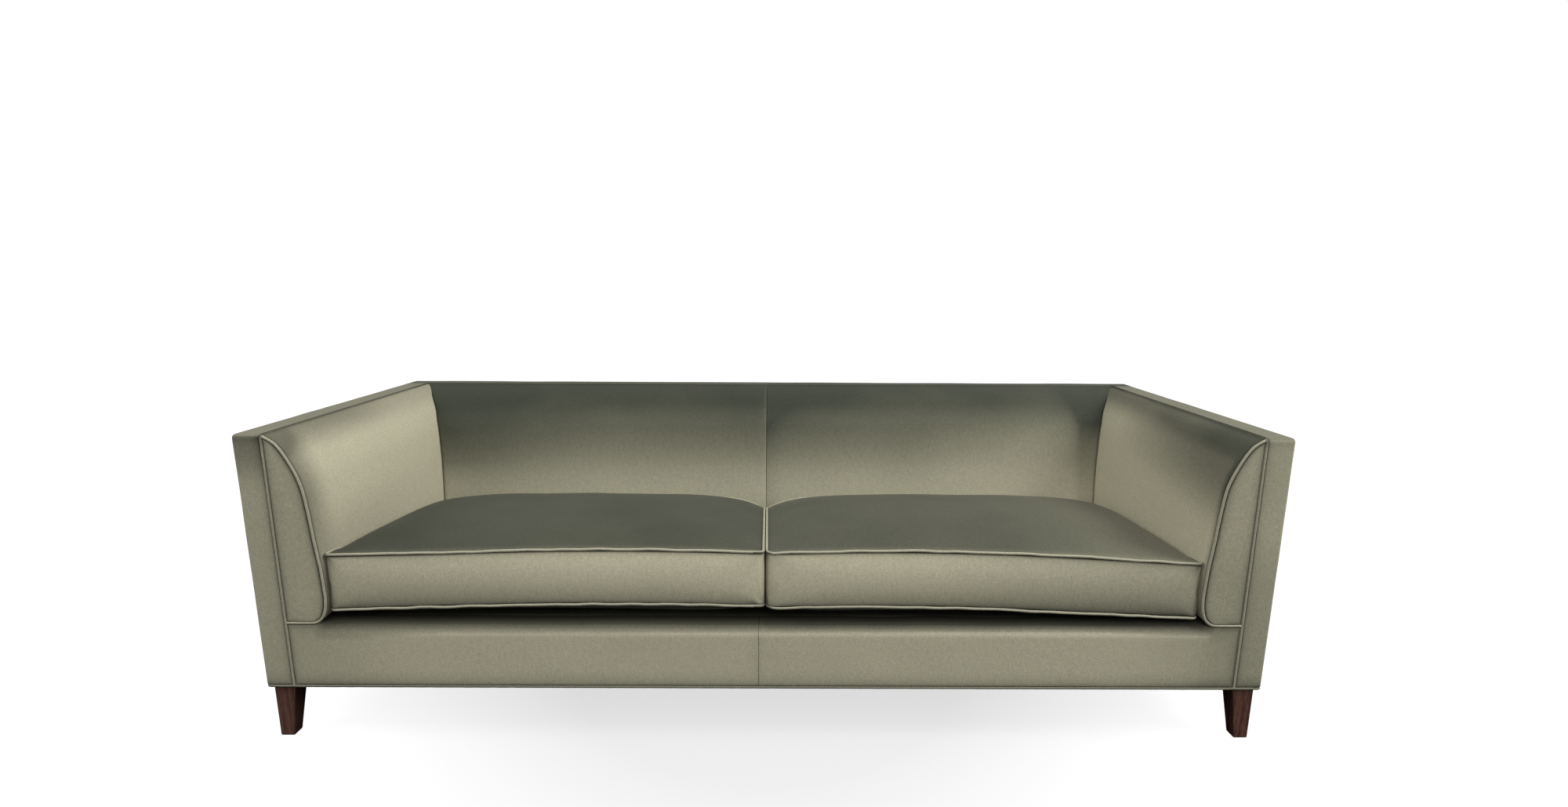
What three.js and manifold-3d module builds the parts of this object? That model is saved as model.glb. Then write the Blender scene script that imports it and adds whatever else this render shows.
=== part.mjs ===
// A two-seat tuxedo sofa: arms and back of one height round two loose boxed cushions.
// Millimetres, +Z up, the front faces -Y, and the origin is on the floor under the middle.

import * as THREE from 'three';
import { mergeVertices } from 'three/addons/utils/BufferGeometryUtils.js';
import Module from 'manifold-3d';

// Overall sizes
const width = 2200;
const depth = 885;
const height = 690;
const legHeight = 121;
const clearance = 0.3;
const weldShare = 0.01;
const cutOverrun = 10;
const profileSteps = 2;
const rollSteps = 6;

// Border that runs along the tops of the arms and the back
const borderWidth = 61;
const foldRadius = 8;
const coverThickness = 5;
const frontCoverThickness = 6;
const outerCoverThickness = 5;

// Welts
const weltRadius = 3;
const weltProud = 1;
const weltSides = 8;
const bendSteps = 3;
const weltJoinGap = 0.5;

// Padded arm, measured inwards from the outer side of the sofa
const armThickness = 155;
const armLowerCorner = 38;
const armBoardInset = 12;
const armBoardThickness = 22;
const armBulgeShares = [
  [1, 0.16], [0.968, 0.305], [0.904, 0.446], [0.83, 0.638],
  [0.745, 0.755], [0.553, 0.863], [0.31, 0.952], [0, 1],
];

// Padded back, measured forwards from the rear of the sofa
const backThickness = 240;
const backPadding = 55;
const backLowerCorner = 26;
const backBulgeShares = [
  [1, 0.27], [0.98, 0.34], [0.84, 0.53], [0.765, 0.7],
  [0.69, 0.79], [0.54, 0.86], [0.35, 0.945], [0, 1],
];

// Timber frame
const railThickness = 28;
const railHeight = 100;
const topRailWidth = 49;
const topRailHeight = 45;
const tackRailRise = 28;
const uprightKneeShare = 0.32;
const uprightHipShare = 0.885;
const uprightHipWidthShare = 0.68;
const rearSeatRailLift = 23;
const stretcherDrop = 14;
const cornerBlockSide = 90;
const cornerBlockHeight = 60;
const liningThickness = 5;

// Legs
const legTopWidth = 48;
const legFootWidth = 31;
const legSideInset = 13;
const legFrontInset = 7;
const legEdge = 1.5;

// Seat deck, webbing and dust cover
const seatFrontHeight = 272;
const seatPitchDegrees = 3.6;
const deckThickness = 14;
const webbingThickness = 2;
const webbingWidth = 60;
const webbingLengthCount = 11;
const webbingCrossCount = 3;
const dustCoverThickness = 1.5;
const legNotchEase = 19;

// Padded front rail
const rollRadius = 28;
const rollDepth = 62;

// Loose cushions
const cushionSetback = 3;
const cushionRearGap = 0.5;
const cushionSideGap = 2;
const cushionMiddleGap = 1;
const cushionCorner = 18;
const boxingHeight = 123;
const baseCrown = 25;
const topCrown = 28;
const frontBow = 9;
const sideBow = 6;
const boxingDrawIn = 3;
const boxingSetback = 1.5;
const panelThickness = 2;
const coreEase = 0.6;
const cornerSteps = 3;
const longSideSteps = 6;
const shortSideSteps = 4;
const topRingShares = [0.35, 0.6, 0.8, 0.92, 1];
const baseRingShares = [0.55, 0.82, 0.94, 1];
const coreTopRingShares = [0.6, 0.92, 1];
const coreBaseRingShares = [0.82, 0.94, 1];
const boxingRowShares = [0, 0.2, 0.5, 0.8, 1];
const crownPower = 3;
const baseCrownPower = 8;

// Sizes that follow from those above
const faceSide = width / 2 - weltProud;
const faceTop = height - weltProud;
const weltSink = weltRadius - weltProud;
const seamGap = weltRadius + clearance;
const panelInset = weltRadius + seamGap;
const coverBottom = legHeight + 2 * weltRadius + clearance;
const frameBottom = legHeight + dustCoverThickness + clearance;
const frameTop = faceTop - coverThickness - clearance;
const timberSide = faceSide - outerCoverThickness - clearance;
const timberFront = weltProud + frontCoverThickness + clearance;
const timberRear = depth - weltProud - outerCoverThickness - clearance;
const borderSeam = width / 2 - borderWidth;
const borderRearSeam = depth - borderWidth;
const armBoardRear = timberFront + armBoardThickness;
const topRailInner = timberSide - topRailWidth;
const liningInner = topRailInner - clearance - liningThickness;
const topRailFront = timberRear - topRailWidth;
const railTop = frameBottom + railHeight;
const uprightTop = frameTop - topRailHeight - clearance;
const seatPitch = THREE.MathUtils.degToRad(seatPitchDegrees);
const seatInner = width / 2 - armThickness;
const armBoardInner = seatInner + armBoardInset;
const armHeelInner = seatInner + armLowerCorner;
const armBoardShoulder = deckHeight(armBoardRear) - deckThickness;
const cushionWidth = seatInner - cushionSideGap - cushionMiddleGap / 2;
const topWeltHeight = baseCrown + boxingHeight;
const cushionRun = depth - backThickness - cushionSetback - cushionRearGap;
const cushionLean = (topWeltHeight + weltRadius) * Math.sin(seatPitch);
const cushionDepth = (cushionRun - cushionLean) / Math.cos(seatPitch);
const armPanelBottom = seatFrontHeight - weltProud;
const armPanelSeam = armPanelBottom + weltSink;
const backPadBottom = deckHeight(depth - backThickness) + clearance;
const uprightFootWidth = timberRear - depth + backThickness - backPadding;
const uprightKnee = THREE.MathUtils.lerp(railTop, uprightTop, uprightKneeShare);
const uprightHip = new THREE.Vector2(
  uprightFootWidth * uprightHipWidthShare,
  THREE.MathUtils.lerp(railTop, uprightTop, uprightHipShare),
);
const rearSeatRailRear = timberRear - uprightFootWidth - clearance;
const rearSeatRailFront = rearSeatRailRear - railThickness;
const railDrop = deckThickness + webbingThickness + 3 * clearance;
const rearSeatRailTop = deckHeight(rearSeatRailRear) - railDrop;
const rearSeatRailBottom = frameBottom + rearSeatRailLift;
const tackRailTop = seatFrontHeight + tackRailRise;

// Surfaces and colours of the pieces
const finishes = {
  velvet: { color: 0x83816b, roughness: 0.85, metalness: 0 },
  welt: { color: 0x8d8b76, roughness: 0.8, metalness: 0 },
  foam: { color: 0xe8dcb8, roughness: 1, metalness: 0 },
  timber: { color: 0xc9a878, roughness: 0.7, metalness: 0 },
  fibreboard: { color: 0x8b7355, roughness: 0.9, metalness: 0 },
  legWood: { color: 0x3a2620, roughness: 0.4, metalness: 0 },
  webbing: { color: 0x2e2c2a, roughness: 0.9, metalness: 0 },
  platformCloth: { color: 0x6c6a5a, roughness: 0.95, metalness: 0 },
  dustCloth: { color: 0x1d1d1d, roughness: 0.95, metalness: 0 },
};

const wasm = await Module();
wasm.setup();

const sofa = new THREE.Group();

// Distance behind the front of the sofa, as a Y coordinate
function fromFront(distance) {
  return distance - depth / 2;
}

// Height of the seat deck's upper face at a distance behind the front
function deckHeight(distance) {
  return seatFrontHeight - distance * Math.tan(seatPitch);
}

// Adds a named piece with a material of its own
function addPiece(group, name, finish, geometry, position = new THREE.Vector3()) {
  const mesh = new THREE.Mesh(geometry, new THREE.MeshStandardMaterial(finishes[finish]));
  mesh.name = name;
  mesh.position.copy(position);
  group.add(mesh);
  return mesh;
}

// Size and middle of the box between two corners, given as [x, distance behind the front, z]
function boxBetween(...corners) {
  const points = corners.map(([x, distance, z]) => new THREE.Vector3(x, fromFront(distance), z));
  const box = new THREE.Box3().setFromPoints(points);
  return { size: box.getSize(new THREE.Vector3()), middle: box.getCenter(new THREE.Vector3()) };
}

// Adds a rectangular piece between two corners
function addBlock(group, name, finish, cornerA, cornerB) {
  const { size, middle } = boxBetween(cornerA, cornerB);
  addPiece(group, name, finish, new THREE.BoxGeometry(...size.toArray()), middle);
}

function shapeOf(points) {
  return new THREE.Shape(points.map(([across, up]) => new THREE.Vector2(across, up)));
}

// A prism whose outline lies in X and Z, from one distance behind the front to another
function prismAlongY(shape, start, end) {
  const prism = new THREE.ExtrudeGeometry(shape, { depth: end - start, bevelEnabled: false });
  prism.rotateX(Math.PI / 2);
  return prism.translate(0, fromFront(end), 0);
}

// A prism whose outline is [distance behind the front, z], from one X to another
function prismAlongX(shape, start, end) {
  const prism = new THREE.ExtrudeGeometry(shape, { depth: end - start, bevelEnabled: false });
  const basis = new THREE.Matrix4().makeBasis(
    new THREE.Vector3(0, 1, 0),
    new THREE.Vector3(0, 0, 1),
    new THREE.Vector3(1, 0, 0),
  );
  prism.applyMatrix4(basis);
  return prism.translate(start, fromFront(0), 0);
}

// A prism as above on one side of the sofa, between two distances from its middle
function prismOnSide(side, shape, near, far) {
  return side > 0 ? prismAlongX(shape, near, far) : prismAlongX(shape, -far, -near);
}

// A box geometry between two corners, for cutting and joining
function cutter(cornerA, cornerB) {
  const { size, middle } = boxBetween(cornerA, cornerB);
  return new THREE.BoxGeometry(...size.toArray()).translate(...middle.toArray());
}

function toSolid(geometry) {
  const bare = geometry.clone();
  bare.deleteAttribute('normal');
  bare.deleteAttribute('uv');
  const merged = mergeVertices(bare, clearance * weldShare);
  const vertProperties = new Float32Array(merged.attributes.position.array);
  const triVerts = new Uint32Array(merged.index.array);
  return new wasm.Manifold(new wasm.Mesh({ numProp: 3, vertProperties, triVerts }));
}

function toGeometry(solid) {
  const mesh = solid.getMesh();
  const geometry = new THREE.BufferGeometry();
  geometry.setAttribute('position', new THREE.BufferAttribute(mesh.vertProperties, 3));
  geometry.setIndex(new THREE.BufferAttribute(mesh.triVerts, 1));
  geometry.computeVertexNormals();
  return geometry;
}

// A piece cut by others
function carve(geometry, tools) {
  const solid = tools.reduce((left, tool) => left.subtract(toSolid(tool)), toSolid(geometry));
  return toGeometry(solid);
}

// The space that a piece shares with another
function common(geometry, other) {
  return toGeometry(toSolid(geometry).intersect(toSolid(other)));
}

function joined(geometries) {
  const solids = geometries.map(toSolid);
  return toGeometry(solids.reduce((left, right) => left.add(right)));
}

// A skin over a stack of closed loops, with a point at each end or wrapped round to its start
function loft(loops, { first, last, wrap }) {
  const positions = loops.flat().flatMap((point) => point.toArray());
  const count = loops[0].length;
  const indices = [];
  const bands = wrap ? loops.length : loops.length - 1;
  for (let band = 0; band < bands; band += 1) {
    const lower = band * count;
    const upper = ((band + 1) % loops.length) * count;
    for (let step = 0; step < count; step += 1) {
      const next = (step + 1) % count;
      indices.push(lower + step, lower + next, upper + step);
      indices.push(lower + next, upper + next, upper + step);
    }
  }
  if (first) {
    const centre = positions.length / 3;
    positions.push(...first.toArray());
    for (let step = 0; step < count; step += 1) {
      indices.push(centre, (step + 1) % count, step);
    }
  }
  if (last) {
    const centre = positions.length / 3;
    const top = (loops.length - 1) * count;
    positions.push(...last.toArray());
    for (let step = 0; step < count; step += 1) {
      indices.push(centre, top + step, top + ((step + 1) % count));
    }
  }
  const geometry = new THREE.BufferGeometry();
  geometry.setAttribute('position', new THREE.Float32BufferAttribute(positions, 3));
  geometry.setIndex(indices);
  return faceOutwards(geometry);
}

// Turns the faces round where the skin encloses a negative volume
function faceOutwards(geometry) {
  const index = geometry.index.array;
  const corner = [new THREE.Vector3(), new THREE.Vector3(), new THREE.Vector3()];
  let volume = 0;
  for (let face = 0; face < index.length; face += 3) {
    corner.forEach((point, side) => {
      point.fromBufferAttribute(geometry.attributes.position, index[face + side]);
    });
    volume += corner[0].dot(corner[1].clone().cross(corner[2]));
  }
  if (volume < 0) {
    for (let face = 0; face < index.length; face += 3) {
      [index[face], index[face + 1]] = [index[face + 1], index[face]];
    }
  }
  geometry.computeVertexNormals();
  return geometry;
}

// A path with one station at each listed point
class StationPath extends THREE.Curve {
  constructor(stations) {
    super();
    this.stations = stations;
  }

  getPoint(share, target = new THREE.Vector3()) {
    const place = share * (this.stations.length - 1);
    const index = Math.min(Math.floor(place), this.stations.length - 2);
    return target.lerpVectors(this.stations[index], this.stations[index + 1], place - index);
  }

  getPointAt(share, target) {
    return this.getPoint(share, target);
  }

  getTangentAt(share, target = new THREE.Vector3()) {
    const place = Math.round(share * (this.stations.length - 1));
    const before = this.stations[Math.max(place - 1, 0)];
    const after = this.stations[Math.min(place + 1, this.stations.length - 1)];
    return target.subVectors(after, before).normalize();
  }
}

// A cord of round section along a list of stations
function cordAlong(stations) {
  const section = new THREE.Shape();
  for (let side = 0; side < weltSides; side += 1) {
    const angle = (2 * Math.PI * side) / weltSides;
    const point = new THREE.Vector2(weltRadius, 0).rotateAround(new THREE.Vector2(), angle);
    if (side === 0) {
      section.moveTo(point.x, point.y);
    } else {
      section.lineTo(point.x, point.y);
    }
  }
  section.closePath();
  const path = new StationPath(stations);
  return new THREE.ExtrudeGeometry(section, {
    steps: stations.length - 1,
    extrudePath: path,
    curveSegments: 1,
  });
}

// Points with each corner replaced by a short arc-like bend
function softenCorners(points, radius, steps) {
  const bent = [points[0]];
  for (let index = 1; index < points.length - 1; index += 1) {
    const corner = points[index];
    const before = points[index - 1].clone().sub(corner).setLength(radius).add(corner);
    const after = points[index + 1].clone().sub(corner).setLength(radius).add(corner);
    const bend = new THREE.QuadraticBezierCurve3(before, corner, after);
    bent.push(...bend.getPoints(steps));
  }
  bent.push(points[points.length - 1]);
  return bent;
}

// Offsets an open line to its left
function offsetLine(points, distance) {
  return points.map((point, index) => {
    const before = points[Math.max(index - 1, 0)];
    const after = points[Math.min(index + 1, points.length - 1)];
    const along = after.clone().sub(before).normalize();
    return new THREE.Vector2(point.x - along.y * distance, point.y + along.x * distance);
  });
}

// Side profile of a padded wall from its foot to its top: x is its thickness, y its height
function wallProfile(thickness, bottom, corner, bulgeShares) {
  const bulge = thickness - borderWidth;
  const rise = faceTop - bottom;
  const places = bulgeShares.map(([outShare, upShare]) => (
    new THREE.Vector2(borderWidth + outShare * bulge, bottom + upShare * rise)
  ));
  const path = new THREE.Path();
  path.moveTo(borderWidth, bottom);
  path.lineTo(thickness - corner, bottom);
  path.quadraticCurveTo(thickness, bottom, places[0].x, places[0].y);
  path.splineThru(places.slice(1));
  return path.getPoints(profileSteps);
}

// Closed outline of a padded wall, inset from its profile and running up past its top
function wallOutline(profile, inset) {
  const inner = offsetLine(profile, inset);
  const outer = width / 2 - timberSide;
  return [
    [outer, inner[0].y],
    ...inner.map((point) => [point.x, point.y]),
    [inner[inner.length - 1].x, height],
    [outer, height],
  ];
}

// Outline points measured inwards from one side of the sofa, as X and Z
function onSide(side, points) {
  return points.map(([inwards, up]) => [side * (width / 2 - inwards), up]);
}

// Outline points measured forwards from the rear, as distance behind the front and Z
function onRear(points) {
  return points.map(([forwards, up]) => [depth - forwards, up]);
}

const armProfile = wallProfile(armThickness, armPanelBottom, armLowerCorner, armBulgeShares);
const backProfile = wallProfile(backThickness, backPadBottom, backLowerCorner, backBulgeShares);

// All the space that the padding of one arm takes up to the outer side of the sofa
function armSpace(side) {
  const inner = offsetLine(armProfile, -clearance).slice(0, -1);
  return prismAlongY(shapeOf(onSide(side, [
    [0, inner[0].y],
    ...inner.map((point) => [point.x, point.y]),
    [borderWidth + seamGap + clearance, faceTop],
    [borderWidth + seamGap + clearance, height],
    [0, height],
  ])), 0, depth);
}

// Padding of one arm before it is cut: from the lining to the profile
function armPadShape(side) {
  const top = armProfile[armProfile.length - 1].y;
  const ledge = frameTop - clearance;
  const inner = armProfile.slice(1).map((point) => [point.x, point.y]);
  inner[inner.length - 1] = [borderWidth + seamGap, top];
  return shapeOf(onSide(side, [
    [width / 2 - liningInner + clearance, armPanelBottom],
    ...inner,
    [borderWidth + seamGap, ledge],
    [width / 2 - liningInner + clearance, ledge],
  ]));
}

function buildFrame() {
  const frame = new THREE.Group();
  const frontRail = shapeOf([
    [timberFront, frameBottom],
    [timberFront + railThickness, frameBottom],
    [timberFront + railThickness, deckHeight(timberFront + railThickness) - railDrop],
    [timberFront, deckHeight(timberFront) - railDrop],
  ]);
  const frontRailEnd = armBoardInner - clearance;
  addPiece(frame, 'front_rail', 'timber', prismAlongX(frontRail, -frontRailEnd, frontRailEnd));

  addBlock(frame, 'back_rail', 'timber',
    [-timberSide, timberRear - railThickness, frameBottom],
    [timberSide, timberRear, railTop]);

  const rearSeatRail = shapeOf([
    [rearSeatRailFront, rearSeatRailBottom],
    [rearSeatRailRear, rearSeatRailBottom],
    [rearSeatRailRear, rearSeatRailTop],
    [rearSeatRailFront, deckHeight(rearSeatRailFront) - railDrop],
  ]);
  const rearSeatRailEnd = timberSide - railThickness - clearance;
  addPiece(frame, 'rear_seat_rail', 'timber',
    prismAlongX(rearSeatRail, -rearSeatRailEnd, rearSeatRailEnd));

  addBlock(frame, 'centre_stretcher', 'timber',
    [-railThickness / 2, timberFront + railThickness + clearance, frameBottom],
    [railThickness / 2, rearSeatRailFront - clearance, rearSeatRailTop - stretcherDrop]);

  addBlock(frame, 'back_top_rail', 'timber',
    [-timberSide, topRailFront, frameTop - topRailHeight],
    [timberSide, timberRear, frameTop]);

  addSideTimber(frame, 'left', -1);
  addSideTimber(frame, 'right', 1);
  addPiece(frame, 'back_upright_centre', 'timber', uprightPrism(-railThickness / 2));
  return frame;
}

// A shaped upright of the back, from its lowest X
function uprightPrism(start) {
  const foot = railTop + clearance;
  const outline = shapeOf([
    [timberRear, foot],
    [timberRear, uprightTop],
    [topRailFront, uprightTop],
    [timberRear - uprightHip.x, uprightHip.y],
    [timberRear - uprightFootWidth, uprightKnee],
    [timberRear - uprightFootWidth, foot],
  ]);
  return prismAlongX(outline, start, start + railThickness);
}

// Rails, board, lining and blocks of one side
function addSideTimber(frame, hand, side) {
  const railInner = side * (timberSide - railThickness);
  const backRailFront = timberRear - railThickness;

  addBlock(frame, `side_rail_${hand}`, 'timber',
    [side * timberSide, armBoardRear + clearance, frameBottom],
    [railInner, backRailFront - clearance, railTop]);

  addBlock(frame, `arm_top_rail_${hand}`, 'timber',
    [side * timberSide, armBoardRear + clearance, frameTop - topRailHeight],
    [side * topRailInner, topRailFront - clearance, frameTop]);

  addBlock(frame, `arm_tack_rail_${hand}`, 'timber',
    [side * timberSide, armBoardRear + clearance, railTop + clearance],
    [side * topRailInner, rearSeatRailRear, tackRailTop]);

  addPiece(frame, `back_upright_${hand}`, 'timber',
    uprightPrism(side > 0 ? railInner : -timberSide));

  addPiece(frame, `arm_front_board_${hand}`, 'timber', armBoard(side, 0));

  addBlock(frame, `arm_lining_${hand}`, 'fibreboard',
    [side * (topRailInner - clearance), armBoardRear + clearance, seatFrontHeight - deckThickness],
    [side * liningInner, topRailFront - clearance, frameTop - clearance]);

  addCornerBlock(frame, `corner_block_front_${hand}`, side, armBoardRear + clearance, 1);
  addCornerBlock(frame, `corner_block_rear_${hand}`, side, backRailFront - clearance, -1);
}

// The shaped board at the front of an arm, grown all round by an ease for use as a cutter
function armBoard(side, ease) {
  const outline = wallOutline(armProfile, armBoardInset - ease);
  const upper = prismAlongY(shapeOf(onSide(side, outline)), timberFront - ease, armBoardRear + ease);
  const shank = cutter(
    [side * (timberSide + ease), timberFront - ease, frameBottom - ease],
    [side * (armBoardInner - ease), armBoardRear + ease, armBoardShoulder + ease],
  );
  const neck = cutter(
    [side * (timberSide + ease), timberFront - ease, frameBottom - ease],
    [side * (armHeelInner - ease), armBoardRear + ease, armPanelBottom + armLowerCorner + armBoardInset],
  );
  const crop = cutter(
    [side * (timberSide + ease), -cutOverrun, 0],
    [0, depth, frameTop + ease],
  );
  return common(joined([upper, shank, neck]), crop);
}

// A triangular block in the corner between a side rail and a cross rail
function addCornerBlock(frame, name, side, face, towardsBack) {
  const railInner = timberSide - railThickness - clearance;
  const outline = shapeOf([
    [side * railInner, -fromFront(face)],
    [side * (railInner - cornerBlockSide), -fromFront(face)],
    [side * railInner, -fromFront(face + towardsBack * cornerBlockSide)],
  ]);
  const block = new THREE.ExtrudeGeometry(outline, { depth: cornerBlockHeight, bevelEnabled: false });
  block.rotateX(Math.PI);
  addPiece(frame, name, 'timber', block,
    new THREE.Vector3(0, 0, frameBottom + cornerBlockHeight));
}

// One tapered leg: its outer two faces are upright and its inner two faces lean
function addLeg(group, name, side, end) {
  const top = frameBottom - clearance;
  const levels = [
    { z: 0, size: legFootWidth, trim: legEdge },
    { z: legEdge, size: legFootWidth, trim: 0 },
    { z: top, size: legTopWidth, trim: 0 },
  ];
  const loops = levels.map(({ z, size, trim }) => {
    const low = trim;
    const high = size - trim;
    const corners = [
      [low + legEdge, low], [high - legEdge, low], [high, low + legEdge], [high, high - legEdge],
      [high - legEdge, high], [low + legEdge, high], [low, high - legEdge], [low, low + legEdge],
    ];
    return corners.map(([inwards, along]) => new THREE.Vector3(-side * inwards, -end * along, z));
  });
  const middle = legFootWidth / 2;
  const first = new THREE.Vector3(-side * middle, -end * middle, 0);
  const last = new THREE.Vector3(-side * middle, -end * middle, top);
  const outerY = end < 0 ? fromFront(legFrontInset) : fromFront(depth - legFrontInset);
  addPiece(group, name, 'legWood', loft(loops, { first, last }),
    new THREE.Vector3(side * (width / 2 - legSideInset), outerY, 0));
}

function buildLegs() {
  const legs = new THREE.Group();
  addLeg(legs, 'leg_front_left', -1, -1);
  addLeg(legs, 'leg_front_right', 1, -1);
  addLeg(legs, 'leg_rear_left', -1, 1);
  addLeg(legs, 'leg_rear_right', 1, 1);
  return legs;
}

// Webbing, platform and dust cover
function buildSeatDeck() {
  const deck = new THREE.Group();
  const deckSide = liningInner - clearance;
  const slabBetween = (start, end, above, thickness) => shapeOf([
    [start, deckHeight(start) - above],
    [end, deckHeight(end) - above],
    [end, deckHeight(end) - above - thickness],
    [start, deckHeight(start) - above - thickness],
  ]);

  const deckFront = rollDepth + clearance;
  const platform = slabBetween(deckFront, rearSeatRailRear, 0, deckThickness);
  addPiece(deck, 'seat_platform', 'platformCloth', prismAlongX(platform, -deckSide, deckSide));

  const webbingStart = timberFront + clearance;
  const webbingRun = (rearSeatRailRear - webbingStart) / Math.cos(seatPitch);
  const webbingEnd = armBoardInner - clearance;
  const pitch = (2 * webbingEnd - webbingWidth) / (webbingLengthCount - 1);
  const flatStrap = (lowX, lowY, spanX, spanY) => {
    const strap = new THREE.BoxGeometry(spanX, spanY, webbingThickness);
    return strap.translate(lowX + spanX / 2, lowY + spanY / 2, -webbingThickness / 2);
  };
  const straps = [];
  for (let index = 0; index < webbingLengthCount; index += 1) {
    straps.push(flatStrap(index * pitch - webbingEnd, 0, webbingWidth, webbingRun));
  }
  const crossEnd = topRailInner - clearance;
  for (let index = 1; index <= webbingCrossCount; index += 1) {
    const middle = (index * webbingRun) / (webbingCrossCount + 1);
    straps.push(flatStrap(-crossEnd, middle - webbingWidth / 2, 2 * crossEnd, webbingWidth));
  }
  const webbingTop = deckHeight(webbingStart) - deckThickness - clearance;
  const webbing = addPiece(deck, 'seat_webbing', 'webbing', joined(straps),
    new THREE.Vector3(0, fromFront(webbingStart), webbingTop));
  webbing.rotation.x = -seatPitch;

  const notchX = width / 2 - legSideInset - legTopWidth - legNotchEase;
  const notchY = legFrontInset + legTopWidth + legNotchEase;
  const notched = [[notchX, timberFront], [notchX, notchY], [timberSide, notchY]];
  const mirrorFront = notched.map(([x, y]) => [x, fromFront(y)]);
  const quarter = [...mirrorFront, ...mirrorFront.map(([x, y]) => [x, -y]).reverse()];
  const outline = [...quarter, ...quarter.map(([x, y]) => [-x, y]).reverse()];
  const dustCover = new THREE.ExtrudeGeometry(shapeOf(outline),
    { depth: dustCoverThickness, bevelEnabled: false });
  addPiece(deck, 'dust_cover', 'dustCloth', dustCover, new THREE.Vector3(0, 0, legHeight));
  return deck;
}

// Padded cover of one half of the front rail, rolled over its top between the arms
function frontRailCover(side) {
  const outer = weltProud;
  const inner = weltProud + frontCoverThickness;
  const under = deckThickness - clearance;
  const crest = deckHeight(rollRadius) - clearance;
  const roll = new THREE.Shape();
  roll.moveTo(outer, coverBottom);
  roll.lineTo(outer, crest - rollRadius);
  roll.absarc(outer + rollRadius, crest - rollRadius, rollRadius, Math.PI, Math.PI / 2, true);
  roll.lineTo(rollDepth, deckHeight(rollDepth) - clearance);
  roll.lineTo(rollDepth, deckHeight(rollDepth) - under);
  roll.lineTo(inner, deckHeight(inner) - under);
  roll.lineTo(inner, coverBottom);
  roll.closePath();
  const rollEnd = armHeelInner - 2 * clearance;
  const rolled = new THREE.Shape(roll.getPoints(rollSteps));
  const main = prismOnSide(side, rolled, clearance / 2, rollEnd);
  const wing = cutter(
    [side * (rollEnd - clearance), outer, coverBottom],
    [side * (borderSeam - seamGap), inner, armPanelSeam - seamGap],
  );
  return joined([main, wing]);
}

// Border, outer cover, front panel and padding of one arm
function addArmCovers(group, hand, side) {
  const borderEnd = borderRearSeam + seamGap - clearance;
  const inner = weltProud + frontCoverThickness;
  const bend = new THREE.Shape();
  bend.moveTo(weltProud, coverBottom);
  bend.lineTo(weltProud, faceTop - foldRadius);
  bend.absarc(weltProud + foldRadius, faceTop - foldRadius, foldRadius, Math.PI, Math.PI / 2, true);
  bend.lineTo(borderEnd, faceTop);
  bend.lineTo(borderEnd, faceTop - coverThickness);
  bend.lineTo(inner, faceTop - coverThickness);
  bend.lineTo(inner, coverBottom);
  bend.closePath();
  const stripInner = borderSeam + seamGap;
  const strip = new THREE.Shape(bend.getPoints(rollSteps));
  addPiece(group, `arm_border_${hand}`, 'velvet', prismOnSide(side, strip, stripInner, faceSide));

  addBlock(group, `arm_outer_cover_${hand}`, 'velvet',
    [side * faceSide, inner + clearance, coverBottom],
    [side * (faceSide - outerCoverThickness), depth - weltProud, faceTop - coverThickness - clearance]);

  const panelOutline = wallOutline(armProfile, weltSink + seamGap);
  const panelBlank = prismAlongY(shapeOf(onSide(side, panelOutline)), weltProud, inner);
  const panelRegion = cutter(
    [side * (borderSeam - seamGap), -cutOverrun, armPanelSeam + seamGap],
    [0, depth, faceTop - foldRadius],
  );
  addPiece(group, `arm_front_panel_${hand}`, 'velvet', common(panelBlank, panelRegion));

  const pad = prismAlongY(armPadShape(side), timberFront, topRailFront - clearance);
  const rearLedge = cutter(
    [0, borderRearSeam - seamGap, frameTop - clearance],
    [side * (width / 2), depth, height],
  );
  addPiece(group, `arm_pad_${hand}`, 'velvet', carve(pad, [armBoard(side, clearance), rearLedge]));
}

// Border, outer cover and the two padded panels of the back
function addBackCovers(group) {
  addBlock(group, 'back_border', 'velvet',
    [-faceSide, borderRearSeam + seamGap, faceTop],
    [faceSide, depth - weltProud, faceTop - coverThickness]);

  addBlock(group, 'back_outer_cover', 'velvet',
    [-(faceSide - outerCoverThickness - clearance), depth - weltProud, coverBottom],
    [faceSide - outerCoverThickness - clearance, depth - weltProud - outerCoverThickness,
      faceTop - coverThickness - clearance]);

  const ledge = frameTop - clearance;
  const top = backProfile[backProfile.length - 1].y;
  const face = backProfile.slice(1).map((point) => [point.x, point.y]);
  face[face.length - 1] = [borderWidth + seamGap, top];
  const rear = depth - timberRear;
  const outline = shapeOf(onRear([
    [rear + uprightFootWidth + clearance, backPadBottom],
    ...face,
    [borderWidth + seamGap, ledge],
    [rear + topRailWidth + clearance, ledge],
    [rear + topRailWidth + clearance, uprightTop],
    [rear + uprightHip.x + clearance, uprightHip.y],
    [rear + uprightFootWidth + clearance, uprightKnee],
  ]));
  [['left', -1], ['right', 1]].forEach(([hand, side]) => {
    const blank = prismOnSide(side, outline, clearance / 2, borderSeam);
    const outside = cutter([side * liningInner, 0, 0], [side * (width / 2), depth, height]);
    addPiece(group, `back_pad_${hand}`, 'velvet', carve(blank, [armSpace(side), outside]));
  });
}

function buildCovers() {
  const covers = new THREE.Group();
  addPiece(covers, 'front_rail_cover_left', 'velvet', frontRailCover(-1));
  addPiece(covers, 'front_rail_cover_right', 'velvet', frontRailCover(1));
  addArmCovers(covers, 'left', -1);
  addArmCovers(covers, 'right', 1);
  addBackCovers(covers);
  return covers;
}

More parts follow.
